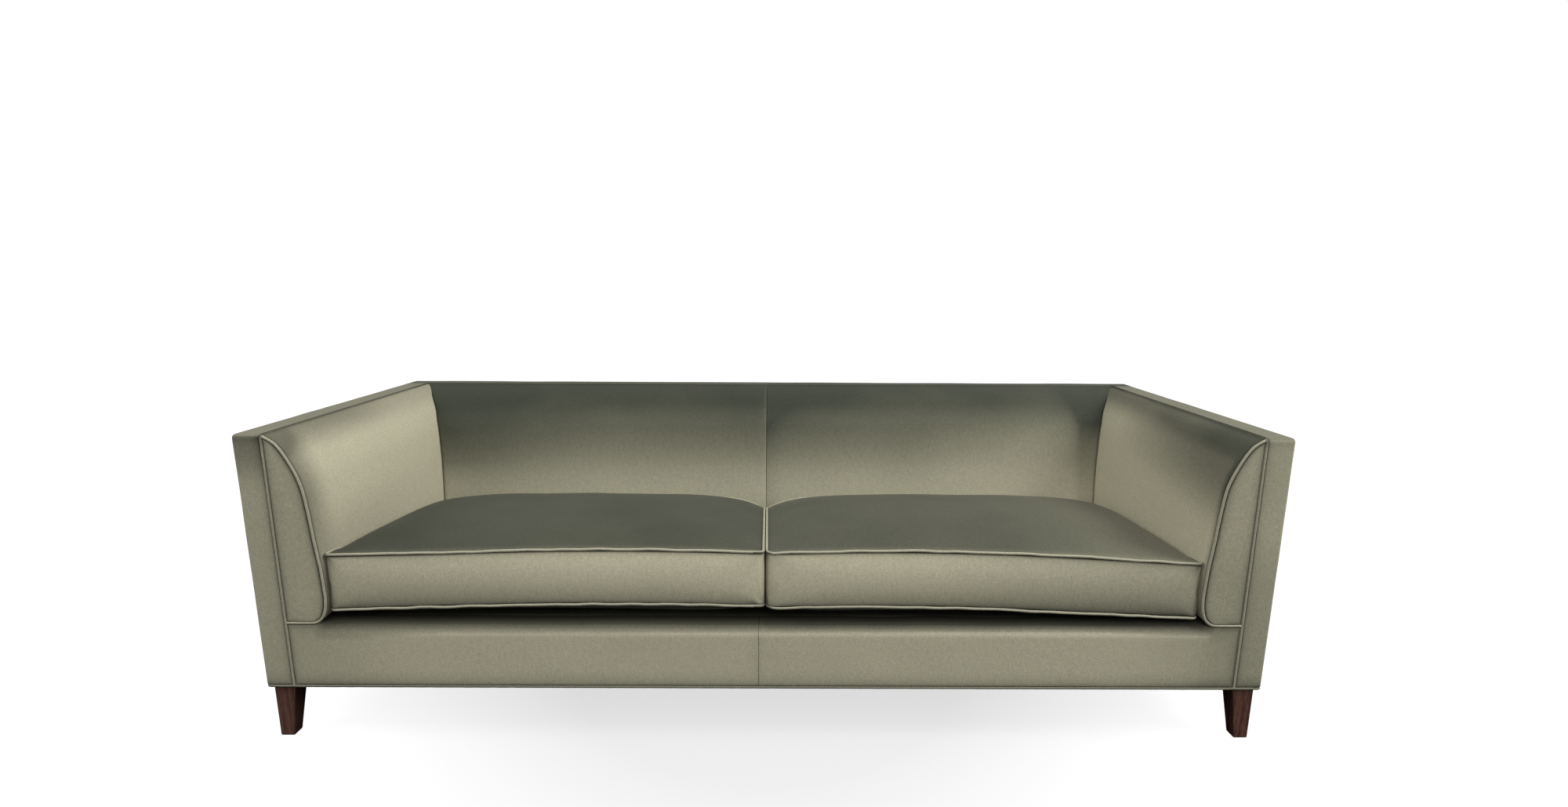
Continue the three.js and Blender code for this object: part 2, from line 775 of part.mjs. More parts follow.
// Welts of the border, the arm fronts and the bottom edge
function buildWelts() {
  const welts = new THREE.Group();
  const sink = weltRadius;
  const seam = (x, distance, z) => new THREE.Vector3(x, fromFront(distance), z);

  const borderRoute = [
    seam(-borderSeam, sink, coverBottom),
    seam(-borderSeam, sink, height - sink),
    seam(-borderSeam, borderRearSeam, height - sink),
    seam(borderSeam, borderRearSeam, height - sink),
    seam(borderSeam, sink, height - sink),
    seam(borderSeam, sink, coverBottom),
  ];
  const borderPath = softenCorners(borderRoute, weltRadius, bendSteps);
  addPiece(welts, 'border_welt', 'welt', cordAlong(borderPath));

  const line = offsetLine(armProfile, weltSink).filter((point) => (
    point.x > borderWidth + 2 * weltRadius + clearance
  ));
  [['left', -1], ['right', 1]].forEach(([hand, side]) => {
    const route = line.map((point) => seam(side * (width / 2 - point.x), sink, point.y));
    const start = route[0].clone().setX(side * (borderSeam - seamGap));
    addPiece(welts, `arm_front_welt_${hand}`, 'welt', cordAlong([start, ...route]));
  });

  const sideX = width / 2 - sink;
  const hem = legHeight + weltRadius;
  const hemRoute = [
    seam(-weltJoinGap / 2, depth - sink, hem),
    seam(-sideX, depth - sink, hem),
    seam(-sideX, sink, hem),
    seam(sideX, sink, hem),
    seam(sideX, depth - sink, hem),
    seam(weltJoinGap / 2, depth - sink, hem),
  ];
  addPiece(welts, 'hem_welt', 'welt', cordAlong(softenCorners(hemRoute, weltRadius, bendSteps)));
  return welts;
}

// Plan of a cushion as a loop of points round its middle, inset from its outer edge
function cushionLoop(inset) {
  const halfX = cushionWidth / 2 - inset;
  const halfY = cushionDepth / 2 - inset;
  const radius = Math.max(cushionCorner - inset, weltRadius);
  const quarters = [[1, 1], [-1, 1], [-1, -1], [1, -1]];
  const loop = [];
  quarters.forEach(([signX, signY], quarter) => {
    const centre = new THREE.Vector2(signX * (halfX - radius), signY * (halfY - radius));
    for (let step = 0; step <= cornerSteps; step += 1) {
      const angle = (Math.PI / 2) * (quarter + step / cornerSteps);
      const spoke = new THREE.Vector2(radius, 0).rotateAround(new THREE.Vector2(), angle);
      loop.push(spoke.add(centre));
    }
    const alongX = quarter % 2 === 0;
    const steps = alongX ? longSideSteps : shortSideSteps;
    const start = loop[loop.length - 1];
    const end = alongX
      ? new THREE.Vector2(-start.x, start.y)
      : new THREE.Vector2(start.x, -start.y);
    for (let step = 1; step < steps; step += 1) {
      loop.push(start.clone().lerp(end, step / steps));
    }
  });
  return loop;
}

// How far the welts' line and the panels rise above the corners at a place on the plan
function bowAt(place) {
  const acrossShare = Math.min(Math.abs(place.x) / (cushionWidth / 2), 1);
  const alongShare = Math.min(Math.abs(place.y) / (cushionDepth / 2), 1);
  return frontBow * (1 - acrossShare ** 2) + sideBow * (1 - alongShare ** 2);
}

// Share of the crown at a place on the plan: one in the middle and none at the panel's edge
function crownShareAt(place, power) {
  const acrossShare = Math.min(Math.abs(place.x) / (cushionWidth / 2 - panelInset), 1);
  const alongShare = Math.min(Math.abs(place.y) / (cushionDepth / 2 - panelInset), 1);
  return (1 - acrossShare ** power) * (1 - alongShare ** power);
}

function topSurface(place) {
  return topWeltHeight + bowAt(place) + topCrown * crownShareAt(place, crownPower);
}

function baseSurface(place) {
  return baseCrown * (1 - crownShareAt(place, baseCrownPower));
}

// Loops of one surface over a plan loop shrunk by each share, at a height above or below it
function surfaceLoops(plan, ringShares, surface, offset) {
  return ringShares.map((share) => plan.map((point) => {
    const place = point.clone().multiplyScalar(share);
    return new THREE.Vector3(place.x, place.y, surface(place) + offset);
  }));
}

// A panel of cloth that follows a surface
function panelGeometry(ringShares, surface) {
  const plan = cushionLoop(panelInset);
  const half = panelThickness / 2;
  const upper = surfaceLoops(plan, ringShares, surface, half);
  const lower = surfaceLoops(plan, ringShares, surface, -half);
  const middle = new THREE.Vector2();
  return loft([...upper, ...lower.reverse()], {
    first: new THREE.Vector3(0, 0, surface(middle) + half),
    last: new THREE.Vector3(0, 0, surface(middle) - half),
  });
}

// One upright row of a cushion's side, at a share of the way from the lower to the upper welt
function boxingRow(rowShare, inset) {
  const drawn = boxingDrawIn * Math.sin(Math.PI * rowShare);
  const bottom = baseCrown + seamGap;
  return cushionLoop(inset + drawn).map((point) => {
    const top = topWeltHeight + bowAt(point) - seamGap;
    return new THREE.Vector3(point.x, point.y, THREE.MathUtils.lerp(bottom, top, rowShare));
  });
}

function boxingGeometry() {
  const outer = boxingRowShares.map((share) => boxingRow(share, boxingSetback));
  const inner = boxingRowShares.map((share) => boxingRow(share, boxingSetback + panelThickness));
  return loft([...outer, ...inner.reverse()], { wrap: true });
}

function coreGeometry() {
  const skin = panelThickness / 2 + coreEase;
  const plan = cushionLoop(panelInset + coreEase);
  const sideInset = boxingSetback + panelThickness + coreEase;
  const lower = surfaceLoops(plan, coreBaseRingShares, baseSurface, skin);
  const upper = surfaceLoops(plan, coreTopRingShares, topSurface, -skin);
  const sides = boxingRowShares.slice(1, -1).map((share) => boxingRow(share, sideInset));
  const middle = new THREE.Vector2();
  return loft([...lower, ...sides, ...upper.reverse()], {
    first: new THREE.Vector3(0, 0, baseSurface(middle) + skin),
    last: new THREE.Vector3(0, 0, topSurface(middle) - skin),
  });
}

// A welt round a cushion, open by a hair at the middle of its rear side
function cushionWelt(heightAt) {
  const loop = cushionLoop(weltRadius);
  const stations = loop.map((point) => new THREE.Vector3(point.x, point.y, heightAt(point)));
  const joinIndex = cornerSteps + longSideSteps / 2;
  const order = [...stations.slice(joinIndex + 1), ...stations.slice(0, joinIndex)];
  const join = stations[joinIndex];
  const start = join.clone();
  start.x -= weltJoinGap / 2;
  const end = join.clone();
  end.x += weltJoinGap / 2;
  return cordAlong([start, ...order, end]);
}

function buildCushion(hand, side) {
  const cushion = new THREE.Group();
  const middle = side * (cushionMiddleGap / 2 + cushionWidth / 2);
  cushion.position.set(middle, cushionDepth / 2, clearance + panelThickness / 2);
  const weltLine = (point) => topWeltHeight + bowAt(point);
  addPiece(cushion, `cushion_core_${hand}`, 'foam', coreGeometry());
  addPiece(cushion, `cushion_top_panel_${hand}`, 'velvet', panelGeometry(topRingShares, topSurface));
  addPiece(cushion, `cushion_base_panel_${hand}`, 'velvet',
    panelGeometry(baseRingShares, baseSurface));
  addPiece(cushion, `cushion_boxing_${hand}`, 'velvet', boxingGeometry());
  addPiece(cushion, `cushion_top_welt_${hand}`, 'welt', cushionWelt(weltLine));
  addPiece(cushion, `cushion_base_welt_${hand}`, 'welt', cushionWelt(() => baseCrown));
  return cushion;
}

// Both cushions lie on the deck, which falls towards the back
function buildCushions() {
  const seat = new THREE.Group();
  seat.position.set(0, fromFront(cushionSetback), deckHeight(cushionSetback));
  seat.rotation.x = -seatPitch;
  seat.add(buildCushion('left', -1), buildCushion('right', 1));
  return seat;
}

sofa.add(buildFrame(), buildLegs(), buildSeatDeck(), buildCovers(), buildWelts(), buildCushions());

export default sofa;
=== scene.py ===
"""Upholstery, woodwork and studio of a two-seat tuxedo sofa.

Lengths are in metres in the sofa's own frame: +X to the right, +Y to the back and +Z up, with
the origin on the floor under the middle of the sofa.
"""

import logging
import math
from collections.abc import Callable
from dataclasses import dataclass
from enum import Enum

import bpy
import numpy as np
from mathutils import Matrix, Vector


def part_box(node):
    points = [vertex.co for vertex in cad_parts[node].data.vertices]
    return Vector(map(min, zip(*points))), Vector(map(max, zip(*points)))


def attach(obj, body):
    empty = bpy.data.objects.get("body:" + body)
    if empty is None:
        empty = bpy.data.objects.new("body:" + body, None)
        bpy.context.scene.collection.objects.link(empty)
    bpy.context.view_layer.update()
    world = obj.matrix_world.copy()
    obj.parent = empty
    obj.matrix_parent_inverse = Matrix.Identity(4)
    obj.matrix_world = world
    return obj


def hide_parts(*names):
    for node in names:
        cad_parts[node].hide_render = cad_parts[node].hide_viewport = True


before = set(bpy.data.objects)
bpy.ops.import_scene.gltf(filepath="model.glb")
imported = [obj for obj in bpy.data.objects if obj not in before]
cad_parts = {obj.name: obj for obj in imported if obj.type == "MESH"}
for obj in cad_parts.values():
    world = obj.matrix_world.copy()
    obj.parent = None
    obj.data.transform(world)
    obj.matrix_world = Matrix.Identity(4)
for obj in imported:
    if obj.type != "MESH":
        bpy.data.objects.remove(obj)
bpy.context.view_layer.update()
LOG = logging.getLogger("tuxedo_sofa")
FRAME_BODY = "sofa_frame"
# Lengths that differ by less than this count as the same
TOUCH = 1e-6

Points = np.ndarray
Piece = bpy.types.Object
Socket = bpy.types.NodeSocket
Color = tuple[float, float, float]
Tree = bpy.types.NodeTree
Material = bpy.types.Material
Mesh = bpy.types.Mesh
Settings = dict[str | int, object]
Kinds = dict[str, str]


class Hand(Enum):
    """Side of the sofa, as its sign along X."""

    LEFT = -1
    RIGHT = 1

    @property
    def word(self) -> str:
        """Name of the side in piece names."""
        return self.name.lower()


class NapDirection(Enum):
    """Way the pile is brushed, as the scale of its streaks along each axis."""

    DOWN = (1.0, 1.0, 0.3)
    FORWARD = (1.0, 0.3, 0.3)


class GrainAxis(Enum):
    """Axis along which a timber's grain runs, as the scale of its figure along each axis."""

    ALONG_X = (0.06, 1.0, 1.0)
    ALONG_Y = (1.0, 0.06, 1.0)
    ALONG_Z = (1.0, 1.0, 0.06)


@dataclass(frozen=True)
class SofaSizes:
    """Sizes that several sub-assemblies share: first those that are chosen, then what follows.

    A chosen size is changed here, in its line, and the ones after it go with it.
    """

    width: float = 2.2
    depth: float = 0.885
    height: float = 0.69
    leg_height: float = 0.121
    clearance: float = 0.0003
    border_width: float = 0.061
    border_wrap: float = 0.005
    border_lap: float = 0.0055
    welt_radius: float = 0.003
    welt_proud: float = 0.001
    top_cover: float = 0.005
    front_cover: float = 0.006
    outer_cover: float = 0.005
    outer_cloth: float = 0.0024
    arm_thickness: float = 0.155
    arm_lower_corner: float = 0.038
    arm_board_inset: float = 0.012
    arm_board_depth: float = 0.022
    back_thickness: float = 0.24
    back_lower_corner: float = 0.026
    back_foot_padding: float = 0.055
    seat_front_height: float = 0.272
    seat_pitch: float = math.radians(3.6)
    deck_thickness: float = 0.014
    roll_radius: float = 0.028
    roll_depth: float = 0.062
    top_rail_width: float = 0.049
    lining_thickness: float = 0.005
    back_seam_x: float = -0.0095
    rail_seam_x: float = -0.014
    cushion_drift: float = -0.0105

    half_width: float = width / 2
    front: float = -depth / 2
    rear: float = depth / 2
    # Outer faces of the covers, just inside the welts
    face_side: float = half_width - welt_proud
    face_front: float = front + welt_proud
    face_rear: float = rear - welt_proud
    face_top: float = height - welt_proud
    # From a seam's middle to the covers beside its welt, and the seams of the border
    seam_gap: float = welt_radius + clearance
    border_seam: float = half_width - border_width
    border_rear_seam: float = rear - border_width
    # Lower edge of the covers above the hem welt, and upper edge of the outer ones under the border
    cover_bottom: float = leg_height + 2 * welt_radius + clearance
    outer_cover_top: float = face_top - border_lap
    # Outer faces of the timber frame, and the inner side of the arms' lining
    frame_top: float = face_top - top_cover - clearance
    timber_front: float = front + welt_proud + front_cover + clearance
    timber_side: float = face_side - outer_cover - clearance
    timber_rear: float = rear - welt_proud - outer_cover - clearance
    lining_side: float = timber_side - top_rail_width - clearance - lining_thickness
    # Width of the back's uprights at their foot, and the deck's rear edge before them
    upright_foot: float = timber_rear - rear + back_thickness - back_foot_padding
    deck_rear: float = timber_rear - upright_foot - clearance

    def deck_height(self, y: float | Points) -> float | Points:
        """Height of the deck's upper face at a place along the sofa's depth."""
        return self.seat_front_height - (y - self.front) * math.tan(self.seat_pitch)


SIZES = SofaSizes()


def rise(values: Points, start: float, end: float) -> Points:
    """Goes smoothly from 0 at the start to 1 at the end."""
    share = np.clip((values - start) / (end - start), 0, 1)
    return share * share * (3 - 2 * share)


def ripple(places: Points, length: float, seed: int, waves: int = 16) -> Points:
    """Makes smooth noise from seeded plane waves.

    Args:
        places: Points at which the noise is read, in the last axis of the array.
        length: Typical distance between two crests.
        seed: Number that fixes the pattern.
        waves: Number of waves.

    Returns:
        One value a point, mostly between -1 and 1.
    """
    source = np.random.default_rng(seed)
    total = np.zeros(places.shape[:-1])
    for _ in range(waves):
        way = source.normal(size=places.shape[-1])
        way *= 2 * math.pi * source.uniform(0.6, 1.5) / (length * np.linalg.norm(way))
        total += np.cos(places @ way + source.uniform(0, 2 * math.pi))
    return np.clip(total / math.sqrt(waves), -1.4, 1.4)


def edge_spaced(length: float, step: float, low: bool = True, high: bool = True) -> Points:
    """Places along a length, closer together near its ends.

    Args:
        length: Distance that the places cover.
        step: Spacing away from the ends.
        low: Whether the start has the close spacing.
        high: Whether the end has the close spacing.

    Returns:
        Rising distances from zero to the length.
    """
    ease = np.array([0, 0.0005, 0.0012, 0.002, 0.0031, 0.0045, 0.0065, 0.0095, 0.014, 0.02])
    ease = ease[ease < length / 2.5]
    start = ease if low else ease[:1]
    end = length - (ease[::-1] if high else ease[:1])
    count = max(round((end[0] - start[-1]) / step), 1)
    middle = np.linspace(start[-1], end[0], count + 1)
    return np.concatenate([start[:-1], middle, end[1:]])


class Route:
    """Line of points that can be read at any distance along it."""

    def __init__(self, points: Points) -> None:
        """Measures the line.

        Args:
            points: Points that it runs through.
        """
        self.points = np.asarray(points, float)
        steps = np.linalg.norm(np.diff(self.points, axis=0), axis=1)
        self.marks = np.concatenate([[0.0], np.cumsum(steps)])
        self.length = float(self.marks[-1])

    def at(self, distances: Points) -> Points:
        """Gives the points at distances along the line."""
        columns = [np.interp(distances, self.marks, axis) for axis in self.points.T]
        return np.stack(columns, axis=-1)


def spline_through(points: Points, steps: int) -> Points:
    """Draws a smooth line through points.

    Args:
        points: Points that the line passes.
        steps: Pieces between two of them.

    Returns:
        The points of the smooth line.
    """
    padded = np.vstack([points[:1], points, points[-1:]])
    share = np.linspace(0, 1, steps, endpoint=False)[:, None]
    line = []
    for before, start, end, after in zip(padded, padded[1:], padded[2:], padded[3:]):
        leave, arrive = (end - before) / 2, (after - start) / 2
        cubic = 2 * start - 2 * end + leave + arrive
        square = 3 * (end - start) - 2 * leave - arrive
        line.append(cubic * share**3 + square * share**2 + leave * share + start)
    return np.vstack([*line, points[-1:]])


def bend(start: Points, corner: Points, end: Points, share: Points) -> Points:
    """Curves from a start to an end, drawn towards the corner between them."""
    return (1 - share) ** 2 * start + 2 * share * (1 - share) * corner + share**2 * end


def rounded_route(points: list | Points, radius: float, steps: int, closed: bool = False) -> Points:
    """Replaces each corner of a line by a short bend.

    Args:
        points: Corners of the line.
        radius: Length that each bend takes from its two sides.
        steps: Pieces in each bend.
        closed: Whether the line returns to its start.

    Returns:
        The points of the rounded line.
    """
    corners = np.asarray(points, float)
    share = np.linspace(0, 1, steps + 1)[:, None]
    line = []
    for index, corner in enumerate(corners):
        if not closed and index in (0, len(corners) - 1):
            line.append(corner[None])
            continue
        before, after = corners[index - 1] - corner, corners[(index + 1) % len(corners)] - corner
        start = corner + before / np.linalg.norm(before) * radius
        end = corner + after / np.linalg.norm(after) * radius
        line.append(bend(start, corner, end, share))
    return np.vstack(line)


def left_of(line: Points) -> Points:
    """Gives the unit directions to the left of a flat line at its points."""
    left = np.gradient(line, axis=0)[:, ::-1] * (-1, 1)
    return left / np.linalg.norm(left, axis=1, keepdims=True)


def lattice(x: float | Points, y: float | Points, z: float | Points) -> Points:
    """Sets out points in rows and columns from coordinates of fitting shapes."""
    return np.stack(np.broadcast_arrays(x, y, z), axis=-1)


def crossed(x: Points, sections: Points) -> Points:
    """Sets out points from places along X and sections in Y and Z."""
    return lattice(x, sections[..., 0], sections[..., 1])


@dataclass(frozen=True)
class WallProfile:
    """Section of a padded wall: how far its face stands in from the outside at each height.

    The shares say how far out of the border and how far up each point of the face lies.
    """

    thickness: float
    bottom: float
    corner: float
    bulge_shares: tuple[tuple[float, float], ...]

    def line(self) -> Points:
        """Draws the face from its lower outer edge to its top seam.

        Returns:
            Points as distance inwards and height.
        """
        border, bottom = SIZES.border_width, self.bottom
        bulge, tall = self.thickness - border, SIZES.face_top - bottom
        places = np.array([(border + out * bulge, bottom + up * tall) for out, up in self.bulge_shares])
        heel, knee = np.array([self.thickness - self.corner, bottom]), np.array([self.thickness, bottom])
        foot = bend(heel, knee, places[0], np.linspace(0, 1, 12, endpoint=False)[:, None])
        face = spline_through(places, 10)
        face[-1, 0] += SIZES.seam_gap
        return np.vstack([[border, bottom], foot, face])

    def inwards_at(self, height: Points) -> Points:
        """Reads how far the face stands in at each height."""
        line = self.line()[1:]
        return np.interp(height, line[:, 1], line[:, 0])


ARM_PROFILE = WallProfile(
    SIZES.arm_thickness,
    SIZES.seat_front_height - SIZES.welt_proud,
    SIZES.arm_lower_corner,
    ((1, 0.16), (0.968, 0.305), (0.904, 0.446), (0.83, 0.638),
     (0.745, 0.755), (0.553, 0.863), (0.31, 0.952), (0, 1)),
)
BACK_PROFILE = WallProfile(
    SIZES.back_thickness,
    float(SIZES.deck_height(SIZES.rear - SIZES.back_thickness)) + SIZES.clearance,
    SIZES.back_lower_corner,
    ((1, 0.27), (0.98, 0.34), (0.84, 0.53), (0.765, 0.7),
     (0.69, 0.79), (0.54, 0.86), (0.35, 0.945), (0, 1)),
)


@dataclass(frozen=True)
class EdgeTurns:
    """Radius at which each edge of a cover turns in to its seam; zero leaves it straight.

    The creases say how much painted shade falls along each of the four seams.
    """

    first_row: float = 0.0
    last_row: float = 0.0
    first_column: float = 0.0
    last_column: float = 0.0
    creases: tuple[float, float, float, float] = (1.0, 1.0, 1.0, 1.0)


@dataclass(frozen=True)
class Relief:
    """Small unevenness of a stretched cover: long waves, and puckers beside its seams."""

    seed: int
    wave_depth: float = 0.0004
    wave_length: float = 0.22
    wave_onset: float = 0.02
    pucker_depth: float = 0.00025
    pucker_length: float = 0.016
    pucker_reach: float = 0.014
    pucker_onset: float = 0.004
    # How far the painted shade in a seam's crease reaches
    crease_reach: float = 0.0035


def turned_depth(distance: Points, radius: float) -> Points:
    """Says how far points at distances from a quarter-round edge lie below the face."""
    inside = np.clip(radius - distance, 0, radius)
    return radius - np.sqrt(radius**2 - inside**2)


def surface_normals(grid: Points, towards: Points) -> Points:
    """Normals of a grid of points.

    Args:
        grid: Points in rows and columns.
        towards: Direction that most normals point to.

    Returns:
        Unit normals, one a point.
    """
    normals = np.cross(np.gradient(grid, axis=0), np.gradient(grid, axis=1))
    normals /= np.linalg.norm(normals, axis=-1, keepdims=True) + 1e-12
    return normals * (np.sign((normals @ np.asarray(towards, float)).mean()) or 1.0)


def edge_distances(grid: Points) -> tuple[Points, Points, Points, Points]:
    """Distance of each point from the grid's four edges, along the surface.

    Args:
        grid: Points in rows and columns.

    Returns:
        Distances from the first row, last row, first column and last column.
    """
    down = np.linalg.norm(np.diff(grid, axis=0, prepend=grid[:1]), axis=-1).cumsum(axis=0)
    across = np.linalg.norm(np.diff(grid, axis=1, prepend=grid[:, :1]), axis=-1).cumsum(axis=1)
    return down, down[-1:] - down, across, across[:, -1:] - across


def upholster(grid: Points, towards: Points, turns: EdgeTurns, relief: Relief) -> tuple[Points, Points]:
    """Turns in the edges of a cover and gives it its small unevenness.

    Args:
        grid: The cover's outer face.
        towards: Direction that the face looks to.
        turns: Radii of its edges.
        relief: Its unevenness.

    Returns:
        The finished face, and its painted crease shade: near 1 at its seams and 0 away from them.
    """
    radii = (turns.first_row, turns.last_row, turns.first_column, turns.last_column)
    nearest = np.full(grid.shape[:2], 1.0)
    sink, seam = np.zeros(grid.shape[:2]), np.zeros(grid.shape[:2])
    for distance, radius, crease_shade in zip(edge_distances(grid), radii, turns.creases):
        if radius > 0:
            sink = np.maximum(sink, turned_depth(distance, radius))
            # Painted shade in the seam's crease, fading away from it
            seam = np.maximum(seam, crease_shade * np.exp(-distance / relief.crease_reach))
            nearest = np.minimum(nearest, distance)
    fade = np.exp(-nearest / relief.pucker_reach) * (1 - np.exp(-nearest / relief.pucker_onset))
    lift = relief.wave_depth * ripple(grid, relief.wave_length, relief.seed)
    lift *= 1 - np.exp(-nearest / relief.wave_onset)
    lift += relief.pucker_depth * fade * ripple(grid, relief.pucker_length, relief.seed + 1)
    return grid + surface_normals(grid, towards) * (lift - sink)[..., None], seam


def show(item: Piece) -> Piece:
    """Puts an object into the scene."""
    bpy.context.scene.collection.objects.link(item)
    return item


def add_values(mesh: Mesh, name: str, values: Points) -> None:
    """Gives each point of a mesh a value under a name."""
    mesh.attributes.new(name, "FLOAT", "POINT").data.foreach_set("value", values.astype("f"))


def read_vectors(mesh: Mesh, name: str) -> Points:
    """Reads the places or the normals of a mesh's points.

    Args:
        mesh: The mesh.
        name: Blender's name of what is read.

    Returns:
        One row a point.
    """
    values = np.empty(3 * len(mesh.vertices))
    mesh.vertices.foreach_get(name, values)
    return values.reshape(-1, 3)


def add_mesh(name: str, points: Points, quads: Points, seam: Points) -> Piece:
    """Makes a mesh object whose faces point outwards.

    Args:
        name: The piece's name.
        points: Its points.
        quads: Its faces, as four point numbers each.
        seam: Painted shade of each point, mostly from how near it is to a seam.

    Returns:
        The new object.
    """
    used, faces = np.unique(quads, return_inverse=True)
    faces = faces.reshape(quads.shape)
    points = points[used]
    first, second, third, fourth = (points[faces[:, corner]] for corner in range(4))
    volume = np.einsum("ij,ij->", first, np.cross(second, third) + np.cross(third, fourth))
    if volume < 0:
        faces = faces[:, ::-1]
    mesh = bpy.data.meshes.new(name)
    mesh.from_pydata(points.tolist(), [], faces.tolist())
    # The seam attribute carries painted shade, which the materials darken by
    add_values(mesh, "seam", seam[used])
    mesh.polygons.foreach_set("use_smooth", np.ones(len(faces), bool))
    mesh.update()
    return show(bpy.data.objects.new(name, mesh))


def cell_corners(rows: int, columns: int) -> list[Points]:
    """Numbers of the four corners of each cell of a grid, in turning order."""
    number = np.arange(rows * columns).reshape(rows, columns)
    return [number[:-1, :-1], number[:-1, 1:], number[1:, 1:], number[1:, :-1]]


def shell_faces(cells: Points) -> Points:
    """Joins two grids of points into the faces of one closed body.

    Args:
        cells: Which cells of the grids are there.

    Returns:
        Four point numbers a face, where the second grid's points follow those of the first.
    """
    rows, columns = np.add(cells.shape, 1)
    behind = rows * columns
    corners = cell_corners(rows, columns)
    face = np.stack([corner[cells] for corner in corners], axis=-1)
    framed = np.pad(cells, 1)
    beside = [framed[:-2, 1:-1], framed[1:-1, 2:], framed[2:, 1:-1], framed[1:-1, :-2]]
    parts = [face, face[:, ::-1] + behind]
    for side in range(4):
        open_side = cells & ~beside[side]
        start, end = corners[side][open_side], corners[(side + 1) % 4][open_side]
        parts.append(np.stack([end, start, start + behind, end + behind], axis=-1))
    return np.concatenate(parts)


def closed_shell(
    name: str, outer: Points, inner: Points, seam: Points, cells: Points | None = None
) -> Piece:
    """Closes an outer and an inner grid into one body.

    Args:
        name: The piece's name.
        outer: Points of the outer face in rows and columns.
        inner: Points behind them.
        seam: Painted shade of each outer point, mostly from how near it is to a seam.
        cells: Which cells of the grid are there; all of them where it is left out.

    Returns:
        The new object.
    """
    if cells is None:
        cells = np.ones(np.subtract(seam.shape, 1), bool)
    points = np.concatenate([outer.reshape(-1, 3), inner.reshape(-1, 3)])
    marks = np.concatenate([seam.ravel(), np.ones(seam.size)])
    return add_mesh(name, points, shell_faces(cells), marks)


@dataclass(frozen=True)
class Pile:
    """Points of a velvet piece, how far each faces up, and its painted seam shade."""

    x: Points
    y: Points
    z: Points
    up: Points
    nearness: Points

    @property
    def depth(self) -> Points:
        """Distances from the sofa's front."""
        return self.y - SIZES.front


NapAndShade = Callable[[Pile], Points]


def brush(piece: Piece, nap: NapAndShade) -> None:
    """Paints the pile of a piece: its lay, with light and shade painted into it.

    Args:
        piece: The piece.
        nap: Gives how dark each point is, from 0 for raised and pale to 1 for laid and dark: the pile's lay
            and painted light and shade.
    """
    mesh = piece.data
    nearness = np.empty(len(mesh.vertices))
    mesh.attributes["seam"].data.foreach_get("value", nearness)
    pile = Pile(*read_vectors(mesh, "co").T, read_vectors(mesh, "normal")[:, 2], nearness)
    # The nap attribute mixes a pale lit tone and a dark shaded tone: painted light and shade as well as the
    # pile's lay
    add_values(mesh, "nap", np.clip(nap(pile), 0, 1))


def finish_piece(
    piece: Piece, material: Material, body: str, nodes: tuple[str, ...],
    subdivide: bool = True, nap: NapAndShade | None = None,
) -> None:
    """Gives a piece its material, its body and the nodes that it stands for.

    Args:
        piece: The piece.
        material: Its material.
        body: Body that it rides on.
        nodes: Plain solids that it stands for.
        subdivide: Whether its surface is smoothed by one subdivision.
        nap: How its pile lies, with light and shade painted into it, where it is velvet.
    """
    if nap is not None:
        brush(piece, nap)
    piece.data.materials.clear()
    piece.data.materials.append(material)
    if subdivide:
        smooth = piece.modifiers.new("smooth surface", "SUBSURF")
        smooth.levels = smooth.render_levels = 1
    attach(piece, body)
    if nodes:
        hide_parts(*nodes)
    LOG.info("%s rides on %s", piece.name, body)


class NodeBoard:
    """Adds nodes to one tree and links them."""

    def __init__(self, tree: Tree) -> None:
        """Starts on a tree."""
        self.tree = tree

    def fill(self, node: bpy.types.Node, inputs: Settings) -> None:
        """Fills a node's inputs.

        Args:
            node: The node.
            inputs: Values for its sockets, or sockets to link to them, by name or number.
        """
        for key, value in inputs.items():
            if isinstance(value, Socket):
                self.tree.links.new(value, node.inputs[key])
            else:
                node.inputs[key].default_value = value

    def add(self, kind: str, inputs: Settings | None = None, **settings: object) -> bpy.types.Node:
        """Adds a node.

        Args:
            kind: Blender's name of the node type.
            inputs: Values for its sockets, or sockets to link to them, by name or number.
            settings: Values for its properties.

        Returns:
            The new node.
        """
        node = self.tree.nodes.new(kind)
        for key, value in settings.items():
            setattr(node, key, value)
        self.fill(node, inputs or {})
        return node

    def get(
        self, kind: str, inputs: Settings | None = None, output: str | int = 0, **settings: object
    ) -> Socket:
        """Adds a node as add does and gives one of its outputs, by name or number."""
        return self.add(kind, inputs, **settings).outputs[output]

    def math(self, operation: str, *values: object) -> Socket:
        """Adds a sum on numbers or sockets, by Blender's name of the operation."""
        return self.get("ShaderNodeMath", dict(enumerate(values)), operation=operation)

    def centred(self, value: Socket) -> Socket:
        """Moves the middle of a noise from a half to zero."""
        return self.math("SUBTRACT", value, 0.5)

    def noise(self, vector: Socket, scale: float, detail: float) -> Socket:
        """Adds a noise texture of so many cells a metre and so many octaves."""
        return self.get("ShaderNodeTexNoise", {"Vector": vector, "Scale": scale, "Detail": detail})

    def mix(self, factor: Socket, first: object, second: object) -> Socket:
        """Mixes two colours by the share of the second."""
        return self.get("ShaderNodeMix", {0: factor, 6: first, 7: second}, output=2, data_type="RGBA")


# Outputs of a shader group that makes a look
EFFECT = {"Color": "Color", "Roughness": "Float", "Height": "Float"}


